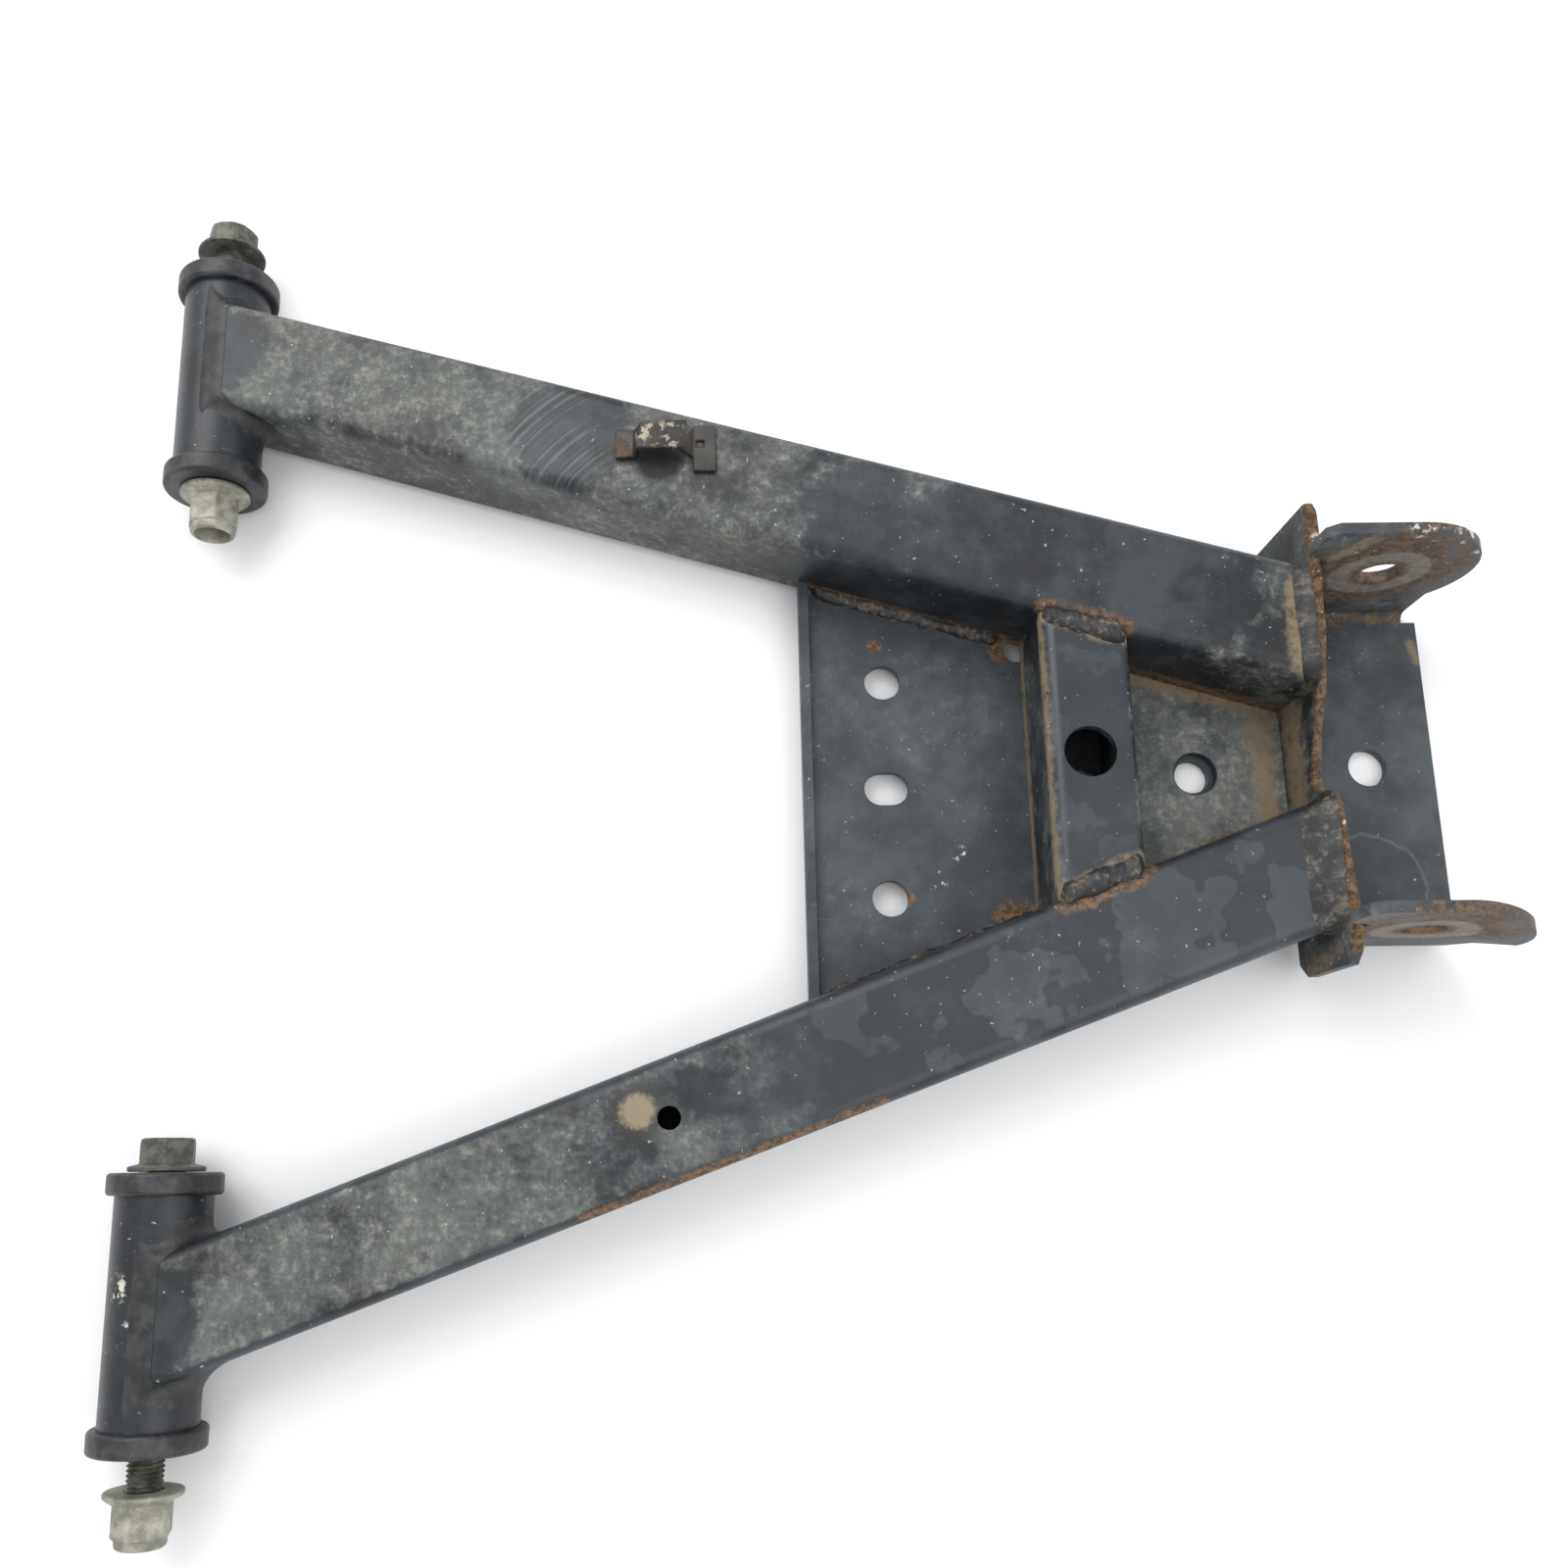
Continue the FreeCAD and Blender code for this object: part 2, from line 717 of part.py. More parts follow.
def earOutline(body, name, lift):
    # side view of an ear: straight root, a shoulder that hangs over the end plate, round far end
    sketch = newSketch(body, name, "XZ_Plane", lift)
    nearEdge = endPlateFar
    middle = (size("ear_middle_along"), size("ear_middle_up"))
    radius = size("ear_radius")
    top = middle[1] + radius
    bevel = size("ear_top_bevel")
    root = size("ear_root_far")
    rootRise = root.number - middle[0].number
    drop = math.sqrt(radius.number ** 2 - rootRise ** 2)
    overhang = nearEdge - size("ear_overhang")
    notch = size("ear_overhang_up")
    points = [
        (root, 0),
        (nearEdge, 0),
        (nearEdge, notch),
        (overhang, notch + size("ear_overhang") / 2),
        (overhang, top - bevel),
        (overhang + bevel, top),
        (middle[0], top),
    ]
    arc = len(points)
    start = vector(root, middle[1].number - drop)
    for point in points:
        end = vector(*point)
        sketch.addGeometry(Part.LineSegment(start, end), False)
        start = end
    startAngle = -math.degrees(math.atan2(drop, rootRise))
    sketch.addGeometry(arcAt(vector(*middle), radius.number, startAngle, 90), False)
    for index in range(arc - 1):
        sketch.addConstraint(Sketcher.Constraint("Coincident", index, 2, index + 1, 1))
        fixPoint(sketch, index, 2, *points[index])
    sketch.addConstraint(Sketcher.Constraint("Coincident", arc - 1, 2, arc, 2))
    sketch.addConstraint(Sketcher.Constraint("Coincident", arc, 1, 0, 1))
    fixPoint(sketch, arc, 3, *middle)
    fix(sketch, "Radius", arc, radius)
    sketch.addConstraint(Sketcher.Constraint("Vertical", 0))
    fix(sketch, "DistanceX", arc, 3, arc, 2, 0)
    return sketch


def knuckleBracket():
    # one sheet: a flat web with a tongue, and an ear folded up at each end
    body = newBody("knuckle_bracket")
    thick = size("bracket_thickness")
    rearOutside = size("rear_ear_inside") + thick
    frontOutside = size("front_ear_inside") - thick
    nearEdge = size("arm_far")
    farEdge = size("bracket_far")
    root = size("ear_root_far")
    relief = size("bracket_bend") + thick
    tongueHalf = size("tongue_half_width")
    tongueMiddle = size("tongue_hole_across")
    outline = [
        (endPlateFar, rearOutside),
        (endPlateFar, rearOutside - relief),
        (nearEdge, rearOutside - relief),
        (nearEdge, tongueMiddle + tongueHalf),
        (size("tongue_near"), tongueMiddle + tongueHalf),
        (size("tongue_near"), tongueMiddle - tongueHalf),
        (nearEdge, tongueMiddle - tongueHalf),
        (nearEdge, frontOutside + relief),
        (endPlateFar, frontOutside + relief),
        (endPlateFar, frontOutside),
        (root, frontOutside),
        (root, frontOutside + relief),
        (farEdge, frontOutside + relief),
        (farEdge, rearOutside - relief),
        (root, rearOutside - relief),
        (root, rearOutside),
    ]
    pad(body, "bracket_web", polygonSketch(body, "web_outline", "XY_Plane", outline), thick)
    rearEar = earOutline(body, "rear_ear_outline", -rearOutside)
    pad(body, "rear_ear", rearEar, thick)
    frontEar = earOutline(body, "front_ear_outline", -size("front_ear_inside"))
    pad(body, "front_ear", frontEar, thick)
    insides = (size("rear_ear_inside"), size("front_ear_inside"))
    outsides = (rearOutside, frontOutside)
    innerBend = lambda middle, box: (
        near(middle.z, webTop)
        and near(box.ZLength, 0)
        and any(near(middle.y, inside) for inside in insides)
    )
    dress(body, "inner_bends", "PartDesign::Fillet", "Radius", size("bracket_bend"), innerBend)
    outerBend = lambda middle, box: (
        near(middle.z, 0) and box.XLength > 20 and any(near(middle.y, outside) for outside in outsides)
    )
    dress(body, "outer_bends", "PartDesign::Fillet", "Radius", size("bracket_bend") + thick, outerBend)
    pin = [(size("ear_middle_along"), size("ear_middle_up"), size("knuckle_hole_radius"))]
    pocket(body, "knuckle_holes", circleSketch(body, "knuckle_hole_outline", "XZ_Plane", pin))
    holes = [
        (size("web_hole_along"), size("web_hole_across"), size("web_hole_radius")),
        (size("tongue_hole_along"), size("tongue_hole_across"), size("tongue_hole_radius")),
    ]
    pocket(body, "web_holes", circleSketch(body, "web_hole_outlines", "XY_Plane", holes))
    placeWhole(body)


def hoseClip():
    # a bent strap: foot, raised bridge, wider foot with a small square hole
    body = newBody("hose_clip")
    thick = size("clip_thickness")
    rise = size("clip_bridge_height")
    half = size("clip_half_width")
    strap = [
        (-13.7, 0),
        (-7.2, 0),
        (-5.4, rise - thick),
        (6.0, rise - thick),
        (8.6, 0),
        (16.5, 0),
        (16.5, thick),
        (9.6, thick),
        (7.0, rise),
        (-6.4, rise),
        (-8.2, thick),
        (-13.7, thick),
    ]
    pad(body, "clip_strap", polygonSketch(body, "strap_outline", "XZ_Plane", strap, -half), half * 2)
    foot = [(9.6, -9.5), (16.5, -9.5), (16.5, 5.5), (9.6, 5.5)]
    pad(body, "clip_foot", polygonSketch(body, "foot_outline", "XY_Plane", foot), thick)
    square = [(10.6, -1.4), (13.0, -1.4), (13.0, 0.6), (10.6, 0.6)]
    pocket(body, "clip_square_hole", polygonSketch(body, "square_outline", "XY_Plane", square))
    slope = (size("arm_far_top") - size("arm_near_top")) / (size("arm_far") - size("arm_near"))
    tilt = FreeCAD.Rotation(FreeCAD.Vector(0, 1, 0), -math.degrees(math.atan(slope.number)))
    place(body, size("clip_along") - originAlong, size("clip_across") - originAcross, 0)
    body.Placement = FreeCAD.Placement(FreeCAD.Vector(0, 0, 0), tilt)
    bind(body, "Placement.Base.z", armTop(size("clip_along")))


# weld beads

def pivotWeld(end, side):
    # corner fillers on both sides of the arm, where it meets the round pivot tube
    name = f"{end}_pivot_weld"
    body = newBody(name)
    leg = size("pivot_weld_leg")
    tube = size("pivot_radius")
    low = size("arm_near_bottom") + size("arm_near_corner") + 1
    height = size("arm_near_top") - size("arm_near_corner") - 1 - low
    for label, face in (("a", 1), ("b", -1)):
        corners = [
            (tube - leg, armSide(end, face, tube - leg)),
            (tube + leg, armSide(end, face, tube + leg)),
            (tube, armSide(end, face, tube) + leg * face),
            (tube - leg, armSide(end, face, tube) + leg * face),
        ]
        sketch = polygonSketch(body, f"{name}_outline_{label}", "XY_Plane", corners, low)
        pad(body, f"{name}_filler_{label}", sketch, height)
    cope = [(0, pivotUp, tube)]
    pocket(body, f"{name}_cope", circleSketch(body, f"{name}_cope_outline", "XZ_Plane", cope))
    placeWhole(body)


def gussetWeld(end, face):
    # a bead in the corner between the gusset and one arm
    name = f"{end}_gusset_weld"
    body = newBody(name)
    leg = size("gusset_weld_leg")
    nearEdge = size("gusset_near") + 2
    farEdge = size("channel_near")
    corners = [
        (nearEdge, armSide(end, face, nearEdge)),
        (farEdge, armSide(end, face, farEdge)),
        (farEdge, armSide(end, face, farEdge) + leg * face),
        (nearEdge, armSide(end, face, nearEdge) + leg * face),
    ]
    pad(body, f"{name}_bead", polygonSketch(body, f"{name}_outline", "XY_Plane", corners, gussetTop), leg)
    middleAlong = (nearEdge.number + farEdge.number) / 2
    freeEdge = armSide(end, face, middleAlong).number + leg.number * face
    slopeEdge = lambda middle, box: (
        near(middle.z, gussetTop + leg) and near(middle.y, freeEdge) and box.XLength > 30
    )
    dress(body, f"{name}_face", "PartDesign::Chamfer", "Size", leg * 0.8, slopeEdge)
    placeWhole(body)


def channelWeld(end, face, arm):
    # a bead on the channel's top that fills the rounded corner of one arm
    name = f"{end}_channel_weld"
    body = newBody(f"{name}_block", isPiece=False)
    nearEdge = size("channel_near") + size("channel_bend")
    farEdge = size("channel_far") - size("channel_bend")
    reach = size("channel_weld_reach")
    corners = [
        (nearEdge, armSide(end, face, nearEdge) + reach * face),
        (farEdge, armSide(end, face, farEdge) + reach * face),
        (farEdge, armSide(end, face, farEdge) - size("arm_far_corner") * face),
        (nearEdge, armSide(end, face, nearEdge) - size("arm_far_corner") * face),
    ]
    sketch = polygonSketch(body, f"{name}_outline", "XY_Plane", corners, size("channel_top"))
    pad(body, f"{name}_bead", sketch, size("channel_weld_height"))
    placeWhole(body)
    cut = document.addObject("Part::Cut", f"{name}_cut")
    cut.Base = body
    cut.Tool = arm
    cut.Label = name
    subParts.append(cut)


def endWeld(end):
    # a wide bead between the arm's top and the end plate
    name = f"{end}_end_weld"
    body = newBody(name)
    farEdge = size("arm_far")
    nearEdge = farEdge - size("end_weld_reach")
    outline = [
        (nearEdge, armTop(nearEdge)),
        (farEdge, armTop(farEdge)),
        (farEdge, armTop(farEdge) + size("end_weld_height")),
    ]
    corner = size("arm_far_corner") + 1
    rearLimit = armSide(end, 1, nearEdge) - corner
    frontLimit = armSide(end, -1, farEdge) + corner
    sketch = polygonSketch(body, f"{name}_outline", "XZ_Plane", outline, -rearLimit)
    pad(body, f"{name}_bead", sketch, rearLimit - frontLimit)
    placeWhole(body)


def earWelds():
    # upright beads between each ear and the end plate
    body = newBody("ear_welds")
    leg = size("ear_weld_leg")
    low = webTop + size("bracket_bend") + 1
    rearInside = size("rear_ear_inside")
    frontOutside = size("front_ear_inside") - size("bracket_thickness")
    for label, across, face in (("rear", rearInside, -1), ("front", frontOutside, -1)):
        corners = [
            (endPlateFar, across),
            (endPlateFar, across + leg * face),
            (endPlateFar + leg, across),
        ]
        sketch = polygonSketch(body, f"{label}_ear_weld_outline", "XY_Plane", corners, low)
        pad(body, f"{label}_ear_weld", sketch, size("ear_middle_up") - low)
    placeWhole(body)


pivotSet("rear", 1, rearHeadSeat, seat)
pivotSet("front", -1, -seat, frontNutSeat)
rearArm = armTube("rear")
frontArm = armTube("front")
clipHole(frontArm)
gussetPlate()
crossChannel()
endPlate()
knuckleBracket()
hoseClip()
pivotWeld("rear", 1)
pivotWeld("front", -1)
gussetWeld("rear", -1)
gussetWeld("front", 1)
channelWeld("rear", -1, rearArm)
channelWeld("front", 1, frontArm)
endWeld("rear")
endWeld("front")
earWelds()

document.recompute()
for item in document.Objects:
    if "Invalid" in item.State or "Error" in item.State:
        raise ValueError(f"{item.Label} failed: {item.State}")
for item in subParts:
    if item.Shape.isNull() or not item.Shape.isValid():
        raise ValueError(f"{item.Label} has no valid shape")

os.makedirs("parts", exist_ok=True)
for item in subParts:
    item.Shape.exportStep(os.path.join("parts", f"{item.Label}.step"))
    print(f"{item.Label}: {item.Shape.Volume:.0f} mm3, {len(item.Shape.Solids)} solid(s)")
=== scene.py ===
import math
import bmesh
import bpy
from mathutils import Euler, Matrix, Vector, noise


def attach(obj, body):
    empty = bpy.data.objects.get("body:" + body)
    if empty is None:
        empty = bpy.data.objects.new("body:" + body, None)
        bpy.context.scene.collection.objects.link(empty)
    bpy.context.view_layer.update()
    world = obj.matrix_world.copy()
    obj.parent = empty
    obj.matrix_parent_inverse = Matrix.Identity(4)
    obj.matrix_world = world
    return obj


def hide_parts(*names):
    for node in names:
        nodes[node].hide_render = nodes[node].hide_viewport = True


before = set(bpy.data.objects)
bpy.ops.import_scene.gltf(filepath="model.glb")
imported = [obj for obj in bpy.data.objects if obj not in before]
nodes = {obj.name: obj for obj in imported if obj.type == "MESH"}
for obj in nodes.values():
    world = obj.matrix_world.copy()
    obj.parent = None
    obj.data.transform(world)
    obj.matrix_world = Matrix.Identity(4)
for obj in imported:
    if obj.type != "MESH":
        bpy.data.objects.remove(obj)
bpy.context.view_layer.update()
drawingOrigin = (180.2, -2.5)  # the row's origin in the drawing, mm
pivotHeight = 15.6  # of both pivots' axes, mm
pivotRadius = 13.2  # of both pivot tubes, mm
plateNear = 328  # x of the end plate's face towards the arms, mm


def at(x, y, z):
    # a point of the drawing, in mm, as a point of the row, in metres
    return Vector(((x - drawingOrigin[0]) / 1000, (y - drawingOrigin[1]) / 1000, z / 1000))


def lumps(point, scale, seed):
    # smooth noise from -1 to 1 at a point given in metres
    return noise.noise(point * scale + Vector((seed * 7.3, seed * 3.1, seed * 5.7)))


# shader building

class Value:
    # a shader socket that takes part in arithmetic
    def __init__(self, shader, socket):
        self.shader = shader
        self.socket = socket

    def combine(self, operation, first, second):
        node = self.shader.node("ShaderNodeMath", {"operation": operation}, {0: first, 1: second})
        return Value(self.shader, node.outputs[0])

    def __add__(self, other):
        return self.combine("ADD", self, other)

    def __radd__(self, other):
        return self.combine("ADD", other, self)

    def __sub__(self, other):
        return self.combine("SUBTRACT", self, other)

    def __rsub__(self, other):
        return self.combine("SUBTRACT", other, self)

    def __mul__(self, other):
        return self.combine("MULTIPLY", self, other)

    def __rmul__(self, other):
        return self.combine("MULTIPLY", other, self)

    def highest(self, other):
        return self.combine("MAXIMUM", self, other)

    def ramp(self, low, high):
        node = self.shader.node(
            "ShaderNodeMapRange",
            {"interpolation_type": "SMOOTHSTEP"},
            {"Value": self, "From Min": low, "From Max": high},
        )
        return Value(self.shader, node.outputs[0])


class Shader:
    def __init__(self, name):
        self.material = bpy.data.materials.new(name)
        self.material.use_nodes = True
        self.tree = self.material.node_tree
        self.surface = self.tree.nodes["Principled BSDF"]
        self.coordinates = Value(self, self.node("ShaderNodeTexCoord").outputs["Object"])

    def node(self, kind, settings=None, inputs=None):
        node = self.tree.nodes.new(kind)
        for key, setting in (settings or {}).items():
            setattr(node, key, setting)
        for key, value in (inputs or {}).items():
            if isinstance(value, Value):
                self.tree.links.new(value.socket, node.inputs[key])
            else:
                node.inputs[key].default_value = value
        return node

    def noise(self, scale, detail, roughness, seed, stretch=(1, 1, 1)):
        steps = {0: self.coordinates, 1: tuple(scale * s for s in stretch), 2: (seed * 7.1, seed * 3.7, seed)}
        moved = self.node("ShaderNodeVectorMath", {"operation": "MULTIPLY_ADD"}, steps)
        inputs = {"Vector": Value(self, moved.outputs[0]), "Scale": 1.0}
        inputs.update({"Detail": detail, "Roughness": roughness})
        return Value(self, self.node("ShaderNodeTexNoise", {}, inputs).outputs[0])

    def arcs(self, centre, scale, seed):
        # noise that changes only with the distance from a point
        w = self.distance(centre) * scale + seed
        inputs = {"W": w, "Scale": 1.0, "Detail": 3.0}
        return Value(self, self.node("ShaderNodeTexNoise", {"noise_dimensions": "1D"}, inputs).outputs[0])

    def vector(self, operation, first, second, output=0):
        node = self.node("ShaderNodeVectorMath", {"operation": operation}, {0: first, 1: second})
        return Value(self, node.outputs[output])

    def distance(self, point):
        return self.vector("DISTANCE", self.coordinates, tuple(point), "Value")

    def spot(self, place, radius, ragged, rough=0.6):
        # 1 near a place, 0 beyond the radius, with a ragged edge
        away = self.distance(at(*place)) + (ragged - 0.5) * (radius * rough / 1000)
        return 1.0 - away.ramp(radius * 0.55 / 1000, radius / 1000)

    def seam(self, first, last, width, ragged):
        # 1 near the line between two places, 0 beyond the width, with a ragged edge
        start, end = at(*first), at(*last)
        line = end - start
        offset = self.vector("SUBTRACT", self.coordinates, tuple(start))
        share = self.vector("DOT_PRODUCT", offset, tuple(line / line.length_squared), "Value")
        share = Value(self, self.node("ShaderNodeClamp", {}, {"Value": share}).outputs[0])
        nearest = self.node("ShaderNodeVectorMath", {"operation": "SCALE"}, {0: tuple(line), "Scale": share})
        away = self.vector("DISTANCE", offset, Value(self, nearest.outputs[0]), "Value")
        away = away + (ragged - 0.5) * (width * 1.6 / 1000)
        return 1.0 - away.ramp(width * 0.2 / 1000, width / 1000)

    def ring(self, place, radius, width):
        # 1 on a ring about an axis along Y, 0 off it
        flat = self.vector("MULTIPLY", self.coordinates, (1, 0, 1))
        x, y, z = at(*place)
        away = self.vector("DISTANCE", flat, (x, 0, z), "Value")
        inner = away.ramp((radius - width) / 1000, (radius - width * 0.6) / 1000)
        return inner * (1.0 - away.ramp((radius - width * 0.15) / 1000, radius / 1000))

    def part(self, vector, axis):
        node = self.node("ShaderNodeSeparateXYZ", {}, {0: vector})
        return Value(self, node.outputs[axis])

    def facing(self, axis):
        normal = Value(self, self.node("ShaderNodeNewGeometry").outputs["Normal"])
        return self.part(normal, axis)

    def blend(self, factor, first, second):
        inputs = {0: factor, 6: first, 7: second}
        node = self.node("ShaderNodeMix", {"data_type": "RGBA"}, inputs)
        return Value(self, node.outputs[2])

    def put(self, name, value):
        if isinstance(value, Value):
            self.tree.links.new(value.socket, self.surface.inputs[name])
        else:
            self.surface.inputs[name].default_value = value

    def bump(self, height, strength, depth):
        inputs = {"Height": height, "Strength": strength, "Distance": depth}
        self.put("Normal", Value(self, self.node("ShaderNodeBump", {}, inputs).outputs[0]))


def rgb(red, green, blue):
    return (red, green, blue, 1.0)


def strongest(masks):
    # the highest of several masks, or None where there are none
    best = None
    for mask in masks:
        best = mask if best is None else best.highest(mask)
    return best


# painted steel

paintLook = {
    "dark": rgb(0.008, 0.010, 0.012),
    "light": rgb(0.032, 0.039, 0.045),
    "dustColour": rgb(0.200, 0.208, 0.185),
    "dustPale": rgb(0.36, 0.34, 0.27),
    "mudColour": rgb(0.225, 0.170, 0.108),
    "rustDark": rgb(0.040, 0.026, 0.018),
    "rustBright": rgb(0.185, 0.098, 0.048),
    "chipColour": rgb(0.55, 0.53, 0.47),
    "dust": 0.30,  # share of the upward faces that dust covers
    "sideDust": 0.12,
    "dustFrom": None,  # (x, x, share, share): dust that changes along the arm
    "wet": 0.0,  # strength of the painted sheen on upward faces and of the damp drips
    "wetFrom": 160,  # x where they begin
    "tideMarks": [],  # (x, y, z, radius) of dried puddles
    "hollows": [],  # (x, y, z, radius) of near-black spots of painted shade
    "footprints": [],  # (x, y, z, radius) where a clip has shielded the paint
    "rust": 0.25,
    "rustSpots": [],  # (x, y, z, radius), as are the other spots
    "rustSeams": [],  # (place, place, width)
    "mudSeams": [],
    "wornRings": [],  # (x, y, z, radius, width)
    "cleanSpots": [],
    "chipSpots": [],
    "arcCentre": None,  # (x, y, z, radius) of a wiped patch
    "roughness": 0.42,
}


def paint(name, **changes):
    look = {**paintLook, **changes}
    s = Shader(name)
    broad = s.noise(26, 4, 0.6, 1)
    middle = s.noise(95, 6, 0.68, 2)
    fine = s.noise(430, 6, 0.72, 3)
    grain = s.noise(2300, 3, 0.6, 4)
    up = s.facing(2)
    upward = up.ramp(0.78, 0.99)
    colour = s.blend((broad * 0.5 + middle * 0.5).ramp(0.40, 0.60), look["dark"], look["light"])
    cover = upward * (look["dust"] - look["sideDust"]) + look["sideDust"]
    if look["dustFrom"]:
        firstX, lastX, first, last = look["dustFrom"]
        along = s.part(s.coordinates, 0).ramp(at(firstX, 0, 0).x, at(lastX, 0, 0).x)
        cover = cover + upward * (along * (last - first) + first)
    for x, y, z, radius in look["cleanSpots"]:
        cover = cover - s.spot((x, y, z), radius, middle) * 0.7
    pattern = broad * 0.36 + middle * 0.38 + fine * 0.26
    film = s.noise(55, 5, 0.7, 7)
    dusty = (pattern * 0.6 + film * 0.4 + cover * 0.30).ramp(0.565, 0.735)
    speckled = dusty * (fine * 0.65 + grain * 0.35).ramp(0.40, 0.60)
    colour = s.blend(dusty * 0.38 + speckled * 0.24, colour, look["dustColour"])
    pale = (middle * 0.40 + fine * 0.60 + cover * 0.10).ramp(0.56, 0.72) * dusty
    colour = s.blend(pale * 0.38, colour, look["dustPale"])
    rough = dusty * 0.38 + look["roughness"]
    if look["wet"]:
        edge = s.noise(40, 3, 0.5, 8)
        first, last = look["wetFrom"], look["wetFrom"] + 22
        reach = s.part(s.coordinates, 0).ramp(at(first, 0, 0).x, at(last, 0, 0).x)
        sheenAndWet = upward * reach * look["wet"]
        wet = edge.ramp(0.50, 0.515) * sheenAndWet
        rim = edge.ramp(0.485, 0.50) * (1.0 - edge.ramp(0.50, 0.52)) * sheenAndWet
        # upward faces turn lighter grey-blue from that x on: painted sheen; the darker drips and rims follow
        colour = s.blend(sheenAndWet * 0.55, colour, rgb(0.052, 0.062, 0.070))
        colour = s.blend(wet * 0.75, colour, rgb(0.016, 0.019, 0.023))
        colour = s.blend(rim * 0.6, colour, rgb(0.008, 0.009, 0.010))
        rough = rough - wet * 0.12
    if look["arcCentre"]:
        x, y, z, radius = look["arcCentre"]
        wiped = s.spot((x, y, z), radius, middle) * film.ramp(0.36, 0.62)
        marks = s.arcs(at(x + 38, y - 48, z), 720, 3).ramp(0.46, 0.72) * wiped
        colour = s.blend(marks * 0.34, colour, rgb(0.26, 0.27, 0.25))
    streaks = s.noise(60, 4, 0.6, 5, (1, 14, 1)).ramp(0.68, 0.74) * (0.25 * fine)
    colour = s.blend(streaks, colour, rgb(0.32, 0.33, 0.31))
    rust = [s.spot((x, y, z), radius, middle, 1.0) for x, y, z, radius in look["rustSpots"]]
    rust += [s.seam(first, last, width, middle) for first, last, width in look["rustSeams"]]
    rust = strongest(rust)
    if rust is not None:
        patch = (middle * 0.5 + fine * 0.5 + rust * look["rust"]).ramp(0.60, 0.70) * rust
        tint = s.blend(fine.ramp(0.42, 0.60), look["rustDark"], look["rustBright"])
        tint = s.blend(grain.ramp(0.50, 0.62) * 0.4, tint, look["mudColour"])
        colour = s.blend(patch, colour, tint)
        rough = rough + patch * 0.3
    mud = strongest([s.seam(first, last, width, middle) for first, last, width in look["mudSeams"]])
    if mud is not None:
        mud = (mud * 0.9 + (fine - 0.5) * 1.6 + (middle - 0.5) * 1.2).ramp(0.35, 1.0) * mud
        colour = s.blend(mud * 0.85, colour, look["mudColour"])
        rough = rough + mud * 0.3
    for x, y, z, radius, width in look["wornRings"]:
        worn = s.ring((x, y, z), radius, width) * (0.10 + 0.6 * fine)
        colour = s.blend(worn, colour, rgb(0.30, 0.29, 0.26))
    for x, y, z, radius in look["tideMarks"]:
        away = s.distance(at(x, y, z)) + (middle - 0.5) * 0.005
        inside = 1.0 - away.ramp((radius - 1) / 1000, radius / 1000)
        edge = away.ramp((radius - 1.6) / 1000, (radius - 0.5) / 1000)
        edge = edge * (1.0 - away.ramp((radius - 0.4) / 1000, radius / 1000))
        colour = s.blend(inside * 0.30, colour, rgb(0.018, 0.021, 0.024))
        colour = s.blend(edge * 0.45, colour, rgb(0.120, 0.125, 0.120))
    # near-black spots on the arm's top beside the hose clip: painted shade
    for x, y, z, radius in look["hollows"]:
        dark = s.spot((x, y, z), radius, middle, 0.9) * 0.9
        colour = s.blend(dark, colour, rgb(0.007, 0.007, 0.007))
    for x, y, z, radius in look["footprints"]:
        rim = s.spot((x, y, z), radius * 1.7, middle) * 0.75
        shielded = s.spot((x, y, z), radius, fine, 1.2) * 0.8
        colour = s.blend(rim, colour, rgb(0.020, 0.019, 0.017))
        colour = s.blend(shielded, colour, rgb(0.29, 0.23, 0.15))
    chips = s.noise(620, 2, 0.5, 6).ramp(0.72, 0.74) * 0.45
    for x, y, z, radius in look["chipSpots"]:
        flakes = (fine * 0.5 + s.noise(300, 3, 0.6, 9) * 0.5).ramp(0.52, 0.56)
        chips = chips.highest(flakes * s.spot((x, y, z), radius, fine))
    colour = s.blend(chips, colour, look["chipColour"])
    s.put("Base Color", colour)
    s.put("Roughness", rough)
    s.put("Specular IOR Level", 0.45)
    s.bump(fine * 0.6 + grain * 0.25 + dusty * 0.5 + chips * -0.6, 0.35, 0.0004)
    return s.material


# rust along the welds of each arm, from the gusset's lip to the end plate
rearSeams = [
    ((186, 74, 7), (250, 54.5, 7), 5),
    ((252, 54, 34), (274, 47.5, 34), 6),
    ((326, 66, 37), (326, 32, 37), 5),
    ((276, 47, 8), (326, 33, 8), 6),
]
frontSeams = [
    ((186, -57, 7), (250, -32, 7), 5),
    ((252, -33, 34), (274, -24, 34), 6),
    ((276, -23, 8), (326, -4, 8), 6),
    ((327, -39, 36), (327, -4, 36), 4),
]
rearArmPaint = paint(
    "rear arm paint", dust=0.34, sideDust=0.58, dustFrom=(50, 300, 0.34, 0.02),
    rust=0.4, rustSeams=rearSeams,
    cleanSpots=[(112, 113, 32, 21), (255, 60, 18, 62), (200, 84, 16, 30), (3, 144, 30, 17)],
    arcCentre=(110, 116, 32.5, 24),
    # painted shade on the arm's top beside the hose clip
    hollows=[(137.5, 102.6, 33, 6.5), (141.5, 102.0, 33, 6.5), (129.5, 106, 33, 5.5)],
    mudSeams=[((324, 60, 37), (324, 34, 36), 7)], chipSpots=[(262, 88, 35, 4)])
frontArmPaint = paint(
    # wet sets the damp drips and the painted sheen on the arm's upward faces
    "front arm paint", dust=0.32, sideDust=0.06, dustFrom=(100, 190, 0.26, -0.10), wet=0.95, rust=0.4,
    rustSeams=frontSeams + [((118, -117.2, 30.5), (200, -86.8, 32), 3.4)],
    footprints=[(132.5, -88.6, 33.0, 6.0)], cleanSpots=[(3, -143, 30, 17), (300, -30, 36, 30)])
